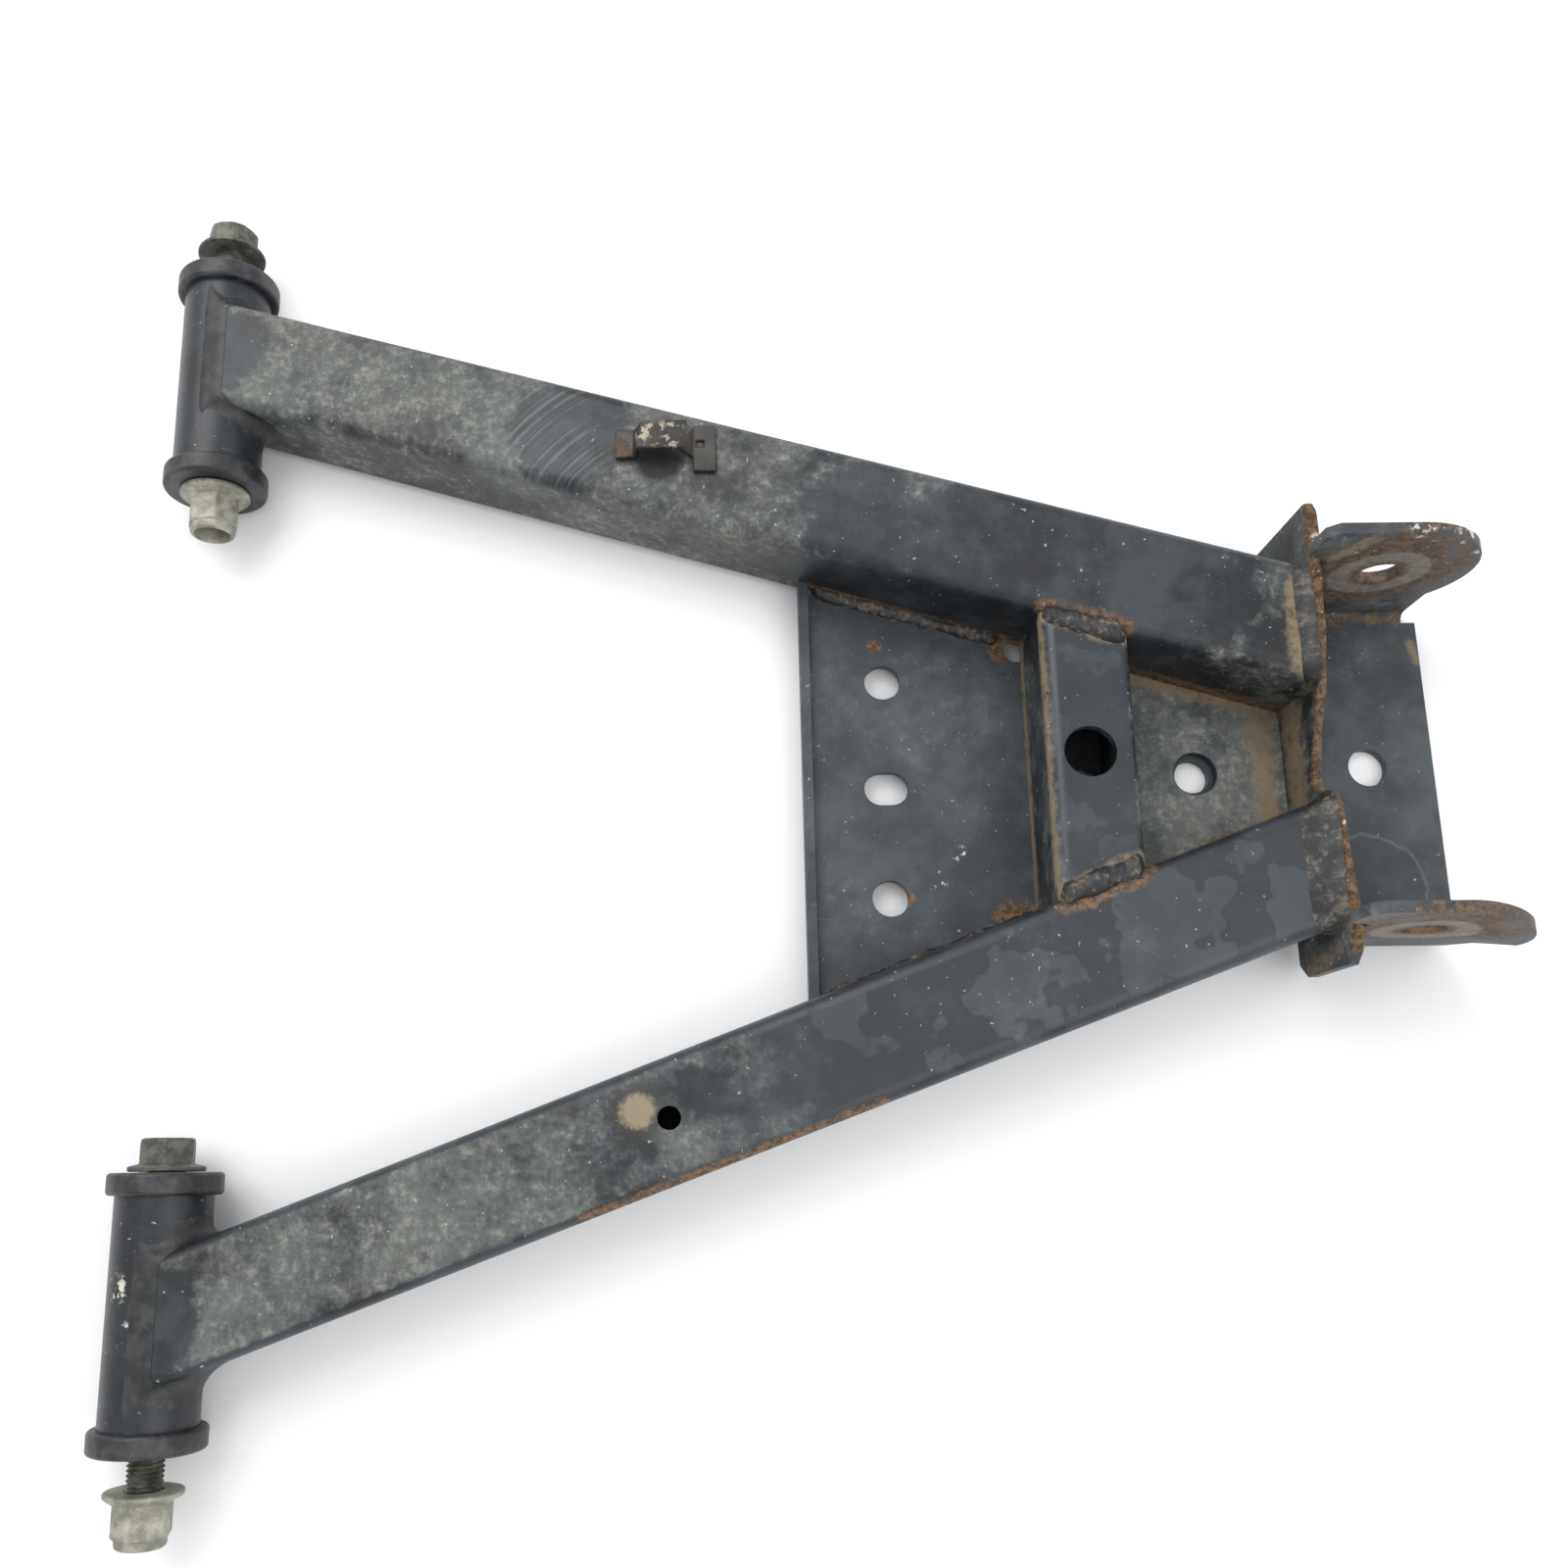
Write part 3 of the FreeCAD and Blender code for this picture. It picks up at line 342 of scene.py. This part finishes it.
pivotPaint = paint(
    "pivot paint", light=rgb(0.022, 0.026, 0.030), dust=0.04, sideDust=0.0, roughness=0.36,
    chipSpots=[(-7, -134, 27, 5), (-2, -146, 28, 5), (3, -136, 29, 3), (1, 152, 29, 3), (0, 158, 29, 2.5)],
    mudSeams=[((13, 126, 16), (13, 154, 16), 4), ((13, -124, 16), (13, -156, 16), 4)])
gussetPaint = paint(
    "gusset paint", dark=rgb(0.024, 0.030, 0.036), light=rgb(0.050, 0.060, 0.068),
    dust=0.14, sideDust=0.05, dustFrom=(268, 290, 0.0, 0.55), roughness=0.5, rust=0.34,
    rustSpots=[(240, 66, 5, 12), (246, 54, 6, 8), (245, -34, 6, 10), (205, 54, 6, 3), (212, -26, 6, 3)],
    rustSeams=rearSeams[:1] + rearSeams[3:] + frontSeams[:1] + frontSeams[2:3],
    mudSeams=[((322, 30, 6), (322, -3, 6), 9), ((277, 46, 6), (325, 32, 6), 7),
              ((277, -22, 6), (325, -5, 6), 6)],
    chipSpots=[(228, -12, 6, 3), (222, -22, 6, 2.5)])
channelPaint = paint(
    # wet sets the damp drips and the painted sheen on the channel's upward faces
    "channel paint", dust=0.14, sideDust=0.34, wet=0.7, wetFrom=200, rust=0.36, roughness=0.38,
    rustSeams=rearSeams[1:2] + frontSeams[1:2],
    mudSeams=[((252, 52, 33), (274, 45, 33), 6), ((252, -30, 33), (274, -21, 33), 6),
              ((250, 52, 31), (250, -28, 31), 4), ((250, 52, 8), (250, -28, 8), 6)])
platePaint = paint(
    "end plate paint", dust=0.30, sideDust=0.35, rust=0.42, roughness=0.6,
    rustSeams=[((329.5, 84, 40), (329.5, 30, 36), 5), ((329.5, 30, 34), (329.5, 2, 26), 5),
               ((329.5, -2, 36), (329.5, -48, 40), 5)],
    mudSeams=[((328, 32, 14), (328, -2, 14), 16), ((331, -44, 36), (331, -50, 10), 8)],
    chipSpots=[(330, 72, 41, 3), (330, 50, 39, 2.5), (330, -10, 37, 2.5)])
bracketPaint = paint(
    "bracket paint", dark=rgb(0.026, 0.031, 0.036), light=rgb(0.055, 0.064, 0.071),
    dust=0.10, sideDust=0.34, roughness=0.48, rust=0.20, rustBright=rgb(0.14, 0.085, 0.05),
    rustSpots=[(349, 66, 38, 34), (349, -40, 42, 32)],
    rustSeams=[((334, 62, 4), (370, 62, 4), 4), ((333, -36, 4), (368, -36, 4), 3)],
    wornRings=[(349.5, 64, 34.5, 14.5, 8)], tideMarks=[(352, -24, 3.2, 17)],
    mudSeams=[((373, 54, 3.2), (374.5, 48, 3.2), 3), ((332, 64, 46), (337, 64, 56), 6)],
    chipSpots=[(364, 66, 57, 5), (373, 66, 48, 5), (350, 66, 61, 5)])
clipPaint = paint(
    "clip paint", dark=rgb(0.007, 0.006, 0.005), light=rgb(0.032, 0.025, 0.019),
    dust=0.10, sideDust=0.0, chipColour=rgb(0.34, 0.30, 0.23),
    chipSpots=[(134, 109, 41, 6.5), (142, 108, 41, 6.5)], rustSpots=[(127, 107, 34, 5)],
    rustBright=rgb(0.075, 0.040, 0.022), rust=0.3, roughness=0.36)


# weld, plastic and plated steel

def weldMetal(name, rust, mud):
    s = Shader(name)
    middle = s.noise(150, 5, 0.65, 11)
    fine = s.noise(700, 5, 0.7, 12)
    colour = s.blend(middle.ramp(0.38, 0.62), rgb(0.008, 0.009, 0.010), rgb(0.030, 0.031, 0.031))
    patch = (middle * 0.5 + fine * 0.5).ramp(0.62 - rust * 0.2, 0.70 - rust * 0.2)
    tint = s.blend(fine.ramp(0.4, 0.6), rgb(0.040, 0.026, 0.018), rgb(0.165, 0.090, 0.046))
    colour = s.blend(patch * min(1.0, rust * 1.6), colour, tint)
    colour = s.blend((fine * 0.5 + middle * 0.5).ramp(0.50, 0.62) * mud, colour, rgb(0.20, 0.160, 0.110))
    s.put("Base Color", colour)
    s.put("Roughness", 0.5 + patch * 0.3)
    s.bump(fine, 0.4, 0.0004)
    return s.material


def plastic():
    s = Shader("bush plastic")
    middle = s.noise(160, 5, 0.65, 21)
    fine = s.noise(900, 4, 0.65, 22)
    colour = s.blend(middle.ramp(0.4, 0.62), rgb(0.010, 0.011, 0.012), rgb(0.036, 0.038, 0.040))
    colour = s.blend((fine * 0.6 + middle * 0.4).ramp(0.58, 0.68) * 0.4, colour, rgb(0.16, 0.155, 0.14))
    s.put("Base Color", colour)
    s.put("Roughness", 0.34 + fine * 0.25)
    s.bump(fine, 0.2, 0.0002)
    return s.material


def plated(name, dark, light, bright, metallic):
    s = Shader(name)
    middle = s.noise(230, 5, 0.65, 31)
    fine = s.noise(1400, 4, 0.65, 32)
    colour = s.blend(middle.ramp(0.36, 0.64), dark, light)
    colour = s.blend((fine * 0.5 + middle * 0.5).ramp(0.58, 0.66) * 0.6, colour, bright)
    s.put("Base Color", colour)
    s.put("Metallic", metallic)
    s.put("Roughness", 0.42 + middle * 0.25)
    s.bump(fine, 0.25, 0.0002)
    return s.material


cleanWeld = weldMetal("painted weld", 0.03, 0.06)
rustyWeld = weldMetal("rusty weld", 0.50, 0.50)
muddyWeld = weldMetal("muddy weld", 0.10, 0.62)
bushPlastic = plastic()
boltPlating = plated(
    "bolt plating", rgb(0.055, 0.056, 0.046), rgb(0.145, 0.145, 0.118), rgb(0.32, 0.31, 0.25), 0.50)
nutPlating = plated(
    "nut plating", rgb(0.20, 0.195, 0.155), rgb(0.38, 0.365, 0.30), rgb(0.55, 0.53, 0.45), 0.45)
sleeveSteel = plated(
    "sleeve steel", rgb(0.20, 0.19, 0.17), rgb(0.42, 0.41, 0.38), rgb(0.60, 0.58, 0.54), 0.85)
print("materials made")


# mesh building

def addPiece(name, mesh, replaced, body, material, sharpAngle=40):
    bmesh.ops.remove_doubles(mesh, verts=mesh.verts, dist=1e-6)
    bmesh.ops.recalc_face_normals(mesh, faces=mesh.faces)
    data = bpy.data.meshes.new(name)
    mesh.to_mesh(data)
    mesh.free()
    piece = bpy.data.objects.new(name, data)
    bpy.context.scene.collection.objects.link(piece)
    data.materials.append(material)
    data.polygons.foreach_set("use_smooth", [True] * len(data.polygons))
    data.set_sharp_from_angle(angle=math.radians(sharpAngle))
    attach(piece, body)
    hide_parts(*replaced)
    return piece


def sweep(mesh, loops, joined=False):
    # skins equal loops of points; the two ends are capped, or joined to each other
    rings = [[mesh.verts.new(point) for point in loop] for loop in loops]
    pairs = list(zip(rings, rings[1:]))
    if joined:
        pairs.append((rings[-1], rings[0]))
    for first, second in pairs:
        for index in range(len(first)):
            following = (index + 1) % len(first)
            mesh.faces.new((first[index], first[following], second[following], second[index]))
    if not joined:
        mesh.faces.new(rings[0])
        mesh.faces.new(rings[-1])


def turned(mesh, seat, rings, joined=False, segments=96):
    # rings of (distance along +Y from the seat, radius or a function of the angle)
    loops = []
    for along, radius in rings:
        loop = []
        for index in range(segments):
            angle = 2 * math.pi * index / segments
            reach = radius(angle) if callable(radius) else radius
            loop.append(at(reach * math.sin(angle), seat + along, pivotHeight + reach * math.cos(angle)))
        loops.append(loop)
    sweep(mesh, loops, joined)


# bolts and nuts

hexagonFlats = 14.0
boltLook = {
    "rear": {"seat": 186.15, "turn": 30},  # y of the head's seat, and the hexagon's turn in degrees
    "front": {"seat": -103.35, "turn": 15},
    "length": 92.2,
    "shankRadius": 4.97,
    "flangeRadius": 10.5,
    "headHeight": 9.2,
    "threadLength": 26.0,
    "threadDepth": 0.75,
    "threadStep": 0.16,
    "pitch": 1.25,
}
nutLook = {
    "rear": {"seat": 103.35, "turn": 22.5},
    "front": {"seat": -186.15, "turn": 7.5},
    "height": 14.2,
    "boreRadius": 5.1,
    "flangeRadius": 10.5,
    "collarRadius": 6.8,
}


def hexagonal(limit, turn):
    # radius of the hexagon, kept inside a circle
    def radius(angle):
        share = (angle - math.radians(turn)) % math.radians(60) - math.radians(30)
        return min(hexagonFlats / 2 / math.cos(share), limit)
    return radius


def threaded(along, fade):
    # radius of the thread, which fades into the shank
    def radius(angle):
        phase = (along / boltLook["pitch"] - angle / (2 * math.pi)) % 1.0
        return boltLook["shankRadius"] - boltLook["threadDepth"] * fade * (1 - abs(2 * phase - 1))
    return radius


def makeBolt(end):
    seat, turn = boltLook[end]["seat"], boltLook[end]["turn"]
    shank, flange, top = boltLook["shankRadius"], boltLook["flangeRadius"], boltLook["headHeight"]
    tip = -boltLook["length"]
    mesh = bmesh.new()
    rings = [(tip, 3.6), (tip + 0.8, 4.3)]
    steps = int(boltLook["threadLength"] / boltLook["threadStep"])
    for index in range(steps):
        along = tip + 1.0 + index * boltLook["threadStep"]
        rings.append((along, threaded(along, min(1.0, (steps - index) / 10))))
    rings += [(tip + boltLook["threadLength"] + 2, shank), (0.0, shank)]
    rings += [(0.0, flange - 0.5), (0.25, flange - 0.05), (1.1, flange), (1.45, flange - 0.3)]
    rings += [(2.2, hexagonal(8.6, turn)), (2.5, hexagonal(8.2, turn)), (7.9, hexagonal(8.1, turn))]
    rings += [(8.5, hexagonal(7.75, turn)), (8.95, hexagonal(7.2, turn)), (top, hexagonal(6.5, turn))]
    rings += [(top, 5.4), (8.95, 4.9), (8.9, 2.0)]  # the dished top of the head
    turned(mesh, seat, rings)
    addPiece(f"{end}_bolt_detail", mesh, [f"{end}_pivot_bolt"], f"{end}_bolt", boltPlating, 32)


def makeNut(end):
    seat, turn = nutLook[end]["seat"], nutLook[end]["turn"]
    bore, flange, collar = nutLook["boreRadius"], nutLook["flangeRadius"], nutLook["collarRadius"]
    outer = -nutLook["height"]
    mesh = bmesh.new()
    rings = [(0.0, bore), (0.0, flange - 0.5), (-0.3, flange - 0.05), (-1.1, flange), (-1.5, flange - 0.3)]
    rings += [(-2.9, hexagonal(8.3, turn)), (-3.3, hexagonal(8.1, turn)), (-10.7, hexagonal(8.1, turn))]
    rings += [(-11.2, hexagonal(7.7, turn)), (-11.6, hexagonal(7.1, turn))]
    rings += [(-11.7, collar), (-13.0, collar), (-13.8, collar - 0.25), (outer, collar - 0.85)]
    rings += [(outer, bore + 0.5), (-13.8, bore + 0.25), (-9.4, bore), (-9.3, bore)]
    turned(mesh, seat, rings, joined=True)
    addPiece(f"{end}_nut_detail", mesh, [f"{end}_pivot_nut"], f"{end}_bolt", nutPlating, 32)


for maker in (makeBolt, makeNut):
    for end in ("rear", "front"):
        maker(end)
print("bolts and nuts made")


# arms' outlines

armLook = {  # pairs are at the pivot's end and at the plate's end, mm
    "start": 4,
    "length": 324,
    "rear": {"middle": (144.5, 49.2), "width": (34.4, 36.4)},
    "front": {"middle": (-142.6, -21.3), "width": (34.6, 37.2)},
    "top": (30.6, 36.2),
    "corner": (3.8, 5.0),
}


def alongArm(pair, x):
    return pair[0] + (pair[1] - pair[0]) * (x - armLook["start"]) / armLook["length"]


def armFace(arm, side, x):
    look = armLook[arm]
    return alongArm(look["middle"], x) + side * alongArm(look["width"], x) / 2


def armTop(x):
    return alongArm(armLook["top"], x)


def armSlope(arm):
    # how far the arm's middle moves along Y for each mm along X
    middle = armLook[arm]["middle"]
    return (middle[1] - middle[0]) / armLook["length"]


def overArm(arm, x, low, sideSteps=14, topSteps=26):
    # points and outward directions from the front face up, over the top and down the rear face
    corner = alongArm(armLook["corner"], x)
    top = armTop(x)
    front = armFace(arm, -1, x)
    rear = armFace(arm, 1, x)
    path = []
    for index in range(sideSteps):
        path.append((front, low + (top - corner - low) * index / sideSteps, -1, 0))
    for index in range(7):
        angle = math.radians(180 - 15 * index)
        across, up = math.cos(angle), math.sin(angle)
        path.append((front + corner + corner * across, top - corner + corner * up, across, up))
    for index in range(1, topSteps):
        path.append((front + corner + (rear - front - 2 * corner) * index / topSteps, top, 0, 1))
    for index in range(7):
        angle = math.radians(90 - 15 * index)
        across, up = math.cos(angle), math.sin(angle)
        path.append((rear - corner + corner * across, top - corner + corner * up, across, up))
    for index in range(1, sideSteps + 1):
        path.append((rear, top - corner - (top - corner - low) * index / sideSteps, 1, 0))
    return path


def hollowCurve(first, corner, last, steps):
    # points from first to last that bend towards the corner
    points = []
    for index in range(steps + 1):
        t = index / steps
        points.append(first * (1 - t) ** 2 + corner * (2 * t * (1 - t)) + last * t ** 2)
    return points


# weld beads

pivotWeldLook = {"leg": 7.0, "ripple": 0.35, "low": 5.0, "from": 12}
endWeldLook = {"rearReach": 4.5, "frontReach": 9.5, "rise": 1.8, "ripple": 0.3, "low": 20.0}
beadLook = {
    "gusset": 2.5,  # radii of the beads, mm
    "channel": 3.4,
    "ear": 2.6,
    "ripple": 0.5,
    "gussetFrom": 186,
    "gussetTo": {"rear": 243, "front": 250},
    "channelFrom": 250.5,
    "channelTo": 275,
}


def makePivotWeld(end):
    # a hollow fillet between the arm's end and the round of the pivot tube
    mesh = bmesh.new()
    leg = pivotWeldLook["leg"]
    start = pivotWeldLook["from"]
    slope = armSlope(end)
    loops = []
    path = overArm(end, start, pivotWeldLook["low"])
    for index, (y, z, ny, nz) in enumerate(path):
        side = 0.0  # how far out the tube is at this height
        if z <= pivotHeight + pivotRadius:
            side = math.sqrt(max(0.0, pivotRadius ** 2 - (z - pivotHeight) ** 2))
        grow = min(1.0, 0.4 + 0.1 * min(index, len(path) - 1 - index))
        reach = leg * (1 + 0.12 * lumps(at(0, y, z), 160, 1)) * grow
        tubeX = side * (1 - nz) + nz * (4 - reach * 0.9)
        tubeZ = z * (1 - nz) + nz * (pivotHeight + math.sqrt(pivotRadius ** 2 - tubeX ** 2))
        tubePoint = at(tubeX, y + ny * reach + slope * (tubeX - start), tubeZ)
        cornerX = side * (1 - nz) + nz * 4
        corner = at(cornerX, y + ny * 0.4 + slope * (side - start) * (1 - nz), z + nz * 0.5)
        armX = max(side, 4) + reach * (1 - nz) + 1.2 * nz
        armPoint = at(armX, y + ny * 0.05 + slope * (armX - start), z + nz * 0.05)
        curve = hollowCurve(tubePoint, corner, armPoint, 6)
        ripple = pivotWeldLook["ripple"] / 1000 * lumps(curve[3], 420, 2)
        lift = Vector((0.6 * ripple, ny * ripple, nz * ripple))
        curve = [curve[0]] + [point + lift for point in curve[1:-1]] + [curve[-1]]
        inArm = armPoint + Vector((0, -ny, -nz)) * 0.0012
        under = at(min(side, 6) - 2, y - ny * 1.5 + slope * (side - start - 2), z - nz * 1.8)
        inTube = tubePoint + Vector((-0.0012, 0, -0.0012 * nz))
        loops.append(curve + [inArm, under, inTube])
    sweep(mesh, loops)
    addPiece(f"{end}_pivot_fillet", mesh, [f"{end}_pivot_weld"], "root", cleanWeld, 60)


def makeEndWeld(end):
    # a broad bead between the arm and the end plate
    mesh = bmesh.new()
    loops = []
    slope = armSlope(end)
    path = overArm(end, plateNear - 0.1, endWeldLook["low"])
    for index, (y, z, ny, nz) in enumerate(path):
        grow = min(1.0, 0.25 + 0.09 * min(index, len(path) - 1 - index))
        reach = endWeldLook[f"{end}Reach"] * (0.45 + 0.55 * nz) * grow
        reach *= 1 + 0.15 * lumps(at(0, y, z), 90, 3)
        rise = endWeldLook["rise"] * grow * (1 + 0.2 * lumps(at(0, y, z), 120, 4))
        armHeight = z + nz * 0.05 - 0.0173 * reach * nz
        armPoint = at(plateNear - reach, y + ny * 0.05 - slope * reach, armHeight)
        platePoint = at(plateNear + 0.2, y + ny * rise, z + nz * rise)
        corner = at(plateNear - 1.8, y + ny * 0.25, z + nz * 0.25)
        curve = hollowCurve(armPoint, corner, platePoint, 6)
        ripple = endWeldLook["ripple"] / 1000 * lumps(curve[3], 330, 5)
        lift = Vector((0, ny, nz)) * ripple
        curve = [curve[0]] + [point + lift for point in curve[1:-1]] + [curve[-1]]
        under = at(plateNear + 0.2, y - ny * 1.2, z - nz * 1.2)
        loops.append(curve + [under, armPoint + Vector((0, -ny, -nz)) * 0.0012])
    sweep(mesh, loops)
    addPiece(f"{end}_end_bead", mesh, [f"{end}_end_weld"], "root", muddyWeld, 60)


def makeBead(mesh, points, radius, upward, outward, seed):
    # a lumpy bead, its section a half-sunk ellipse
    loops = []
    for index, point in enumerate(points):
        ends = min(1.0, 0.3 + 0.25 * min(index, len(points) - 1 - index))
        reach = radius / 1000 * ends * (1 + 0.28 * lumps(point, 260, seed) + 0.03 * math.sin(index * 1.1))
        loop = []
        for step in range(12):
            angle = 2 * math.pi * step / 12
            place = point + outward * (reach * math.cos(angle)) + upward * (reach * 0.8 * math.sin(angle))
            loop.append(place + upward * (beadLook["ripple"] / 1000 * lumps(place, 600, seed + 1) * 0.4))
        loops.append(loop)
    sweep(mesh, loops)


def makeGussetWeld(end, side):
    mesh = bmesh.new()
    points = []
    first, last = beadLook["gussetFrom"], beadLook["gussetTo"][end]
    for index in range(110):
        x = first + (last - first) * index / 109
        points.append(at(x, armFace(end, side, x) + side * 0.5, 6.6))
    makeBead(mesh, points, beadLook["gusset"], Vector((0, 0, 1)), Vector((0, 1, 0)), 11)
    addPiece(f"{end}_gusset_bead", mesh, [f"{end}_gusset_weld"], "root", rustyWeld, 60)


def makeChannelWeld(end, side):
    mesh = bmesh.new()
    points = []
    first, last = beadLook["channelFrom"], beadLook["channelTo"]
    for index in range(60):
        x = first + (last - first) * index / 59
        droop = max(0.0, first + 3 - x, x - last + 3) * 0.8  # both ends run down the corners
        points.append(at(x, armFace(end, side, x) + side * 1.0, 33.4 - droop))
    makeBead(mesh, points, beadLook["channel"], Vector((0, 0, 1)), Vector((0, 1, 0)), 17)
    addPiece(f"{end}_channel_bead", mesh, [f"{end}_channel_weld"], "root", rustyWeld, 60)


def makeEarWelds():
    mesh = bmesh.new()
    for y, seed in ((63.6, 21), (-42.0, 23)):
        points = [at(331.2, y, 7.5 + 27 * index / 49) for index in range(50)]
        makeBead(mesh, points, beadLook["ear"], Vector((1, 0, 0)), Vector((0, 1, 0)), seed)
    addPiece("ear_beads", mesh, ["ear_welds"], "root", rustyWeld, 60)


for end, side in (("rear", -1), ("front", 1)):
    makePivotWeld(end)
    makeEndWeld(end)
    makeGussetWeld(end, side)
    makeChannelWeld(end, side)
makeEarWelds()
print("welds made")


# end plate

endPlateLook = {
    "rear": 84.5,
    "front": -51.0,
    "top": [  # y and height along the plate's torn upper edge
        (84.5, 38.0), (81.5, 41.2), (60.0, 39.6), (42.0, 37.6), (30.5, 35.0), (20.0, 29.5),
        (12.0, 27.5), (4.0, 25.5), (0.5, 26.0), (-1.5, 33.0), (-4.0, 36.4), (-18.0, 37.4),
        (-27.0, 38.6), (-34.0, 40.2), (-42.0, 41.0), (-47.5, 39.4), (-51.0, 34.5),
    ],
    "ragged": 0.45,
    "step": 0.6,
}


def between(points, y):
    for (firstY, first), (lastY, last) in zip(points, points[1:]):
        if lastY <= y <= firstY:
            return last + (first - last) * (y - lastY) / (firstY - lastY)
    return points[-1][1]


def makeEndPlate():
    mesh = bmesh.new()
    loops = []
    rear, front = endPlateLook["rear"], endPlateLook["front"]
    count = int((rear - front) / endPlateLook["step"])
    for index in range(count + 1):
        y = rear - (rear - front) * index / count
        nearby = [max(front, min(rear, y + shift)) for shift in (-1.6, -0.8, 0, 0.8, 1.6)]
        top = sum(between(endPlateLook["top"], place) for place in nearby) / 5
        top += endPlateLook["ragged"] * lumps(at(330, y, 0), 180, 31) - 0.3
        bottom = 3.2 + max(0.0, -47.0 - y) * 1.2
        wave = 0.15 * lumps(at(330, y, 0), 90, 32)
        section = [(328.05, bottom), (328.05, top - 1.2), (328.3 + wave, top - 0.4), (329.0, top - 0.05)]
        section += [(330.0, top), (330.7 + wave, top - 0.4), (330.95, top - 1.1), (330.95, bottom)]
        loops.append([at(x, y, z) for x, z in section])
    sweep(mesh, loops)
    addPiece("end_plate_detail", mesh, ["end_plate"], "root", platePaint, 45)


makeEndPlate()
print("end plate made")


# knuckle bracket and hose clip

bracketLook = {"flare": 5.0, "flareFrom": 350.0, "flareTo": 378.0, "edgeRound": 0.5}
clipLook = {"edgeRound": 0.45, "lean": 0.22, "leanAbout": 108.5, "footHeight": 3.5}


def copied(name):
    # a merged copy of a drawn piece
    mesh = bmesh.new()
    mesh.from_mesh(nodes[name].data)
    bmesh.ops.remove_doubles(mesh, verts=mesh.verts, dist=1e-6)
    flat = math.radians(1.5)
    bmesh.ops.dissolve_limit(mesh, angle_limit=flat, verts=mesh.verts, edges=mesh.edges)
    return mesh


def roundEdges(piece, width):
    rounding = piece.modifiers.new("rounding", "BEVEL")
    rounding.width = width / 1000
    rounding.segments = 2
    rounding.limit_method = "ANGLE"
    rounding.angle_limit = math.radians(40)


def makeBracket():
    # cut across so that the front ear can lean outward
    mesh = copied("knuckle_bracket")
    for x in range(340, 376, 5):
        everything = list(mesh.verts) + list(mesh.edges) + list(mesh.faces)
        bmesh.ops.bisect_plane(mesh, geom=everything, dist=1e-7, plane_co=at(x, 0, 0), plane_no=(1, 0, 0))
    first, last = bracketLook["flareFrom"], bracketLook["flareTo"]
    for vertex in mesh.verts:
        if vertex.co.y < at(0, -30, 0).y and vertex.co.z > 0.007:
            x = vertex.co.x * 1000 + drawingOrigin[0]
            share = min(1.0, max(0.0, (x - first) / (last - first)))
            rise = min(1.0, (vertex.co.z - 0.007) / 0.025)
            vertex.co.y -= bracketLook["flare"] / 1000 * share ** 1.6 * rise
    piece = addPiece(
        "knuckle_bracket_detail", mesh, ["knuckle_bracket"], "root", bracketPaint, 30)
    roundEdges(piece, bracketLook["edgeRound"])


def makeClip():
    # its raised part is a little askew
    mesh = copied("hose_clip")
    low = nodes["hose_clip"].bound_box[0][2] + clipLook["footHeight"] / 1000
    for vertex in mesh.verts:
        if vertex.co.z > low:
            vertex.co.x += clipLook["lean"] * (vertex.co.y - at(0, clipLook["leanAbout"], 0).y)
    piece = addPiece("hose_clip_detail", mesh, ["hose_clip"], "root", clipPaint, 30)
    roundEdges(piece, clipLook["edgeRound"])


makeBracket()
makeClip()
print("bracket and clip made")


# finishes of the drawn pieces

finishes = {
    "rear_arm_tube": rearArmPaint,
    "front_arm_tube": frontArmPaint,
    "rear_pivot_tube": pivotPaint,
    "front_pivot_tube": pivotPaint,
    "gusset_plate": gussetPaint,
    "cross_channel": channelPaint,
    "rear_inner_sleeve": sleeveSteel,
    "front_inner_sleeve": sleeveSteel,
}
for end in ("rear", "front"):
    for way in ("rear", "front"):
        finishes[f"{end}_bush_toward_{way}"] = bushPlastic
for name, material in finishes.items():
    nodes[name].data.materials.clear()
    nodes[name].data.materials.append(material)
print("finishes given")


# floor, light and camera

def makeFloor():
    mesh = bmesh.new()
    bmesh.ops.create_grid(mesh, x_segments=1, y_segments=1, size=4.0)
    data = bpy.data.meshes.new("floor")
    mesh.to_mesh(data)
    mesh.free()
    floor = bpy.data.objects.new("floor", data)
    floor.location.z = -0.0003
    bpy.context.scene.collection.objects.link(floor)
    s = Shader("floor")
    s.put("Base Color", rgb(0.86, 0.86, 0.86))
    s.put("Roughness", 0.7)
    data.materials.append(s.material)


def makeLight(name, place, size, power):
    light = bpy.data.lights.new(name, "AREA")
    light.size = size
    light.energy = power
    lamp = bpy.data.objects.new(name, light)
    lamp.location = place
    lamp.rotation_euler = (-Vector(place)).to_track_quat("-Z", "Y").to_euler()
    bpy.context.scene.collection.objects.link(lamp)


makeFloor()
makeLight("key", (-0.7, 0.9, 1.5), 1.4, 20)
makeLight("fill", (0.9, -0.5, 1.4), 1.4, 9)
world = bpy.data.worlds.new("studio")
world.use_nodes = True
world.node_tree.nodes["Background"].inputs["Color"].default_value = rgb(0.96, 0.98, 1.0)
world.node_tree.nodes["Background"].inputs["Strength"].default_value = 0.95
bpy.context.scene.world = world
bpy.context.scene.view_settings.view_transform = "Standard"

cameraLook = {
    "lens": 31.8,
    "shift": (0.0562, 0.0493),
    "place": (-0.0308, -0.1022, 0.4122),
    "turn": (0.2201, 0.0035, -0.0099),
}
lens = bpy.data.cameras.new("camera")
lens.sensor_width = 36
lens.lens = cameraLook["lens"]
lens.shift_x, lens.shift_y = cameraLook["shift"]
lens.clip_start = 0.01
camera = bpy.data.objects.new("camera", lens)
camera.location = cameraLook["place"]
camera.rotation_euler = Euler(cameraLook["turn"], "XYZ")
bpy.context.scene.collection.objects.link(camera)
bpy.context.scene.camera = camera
print("scene set")
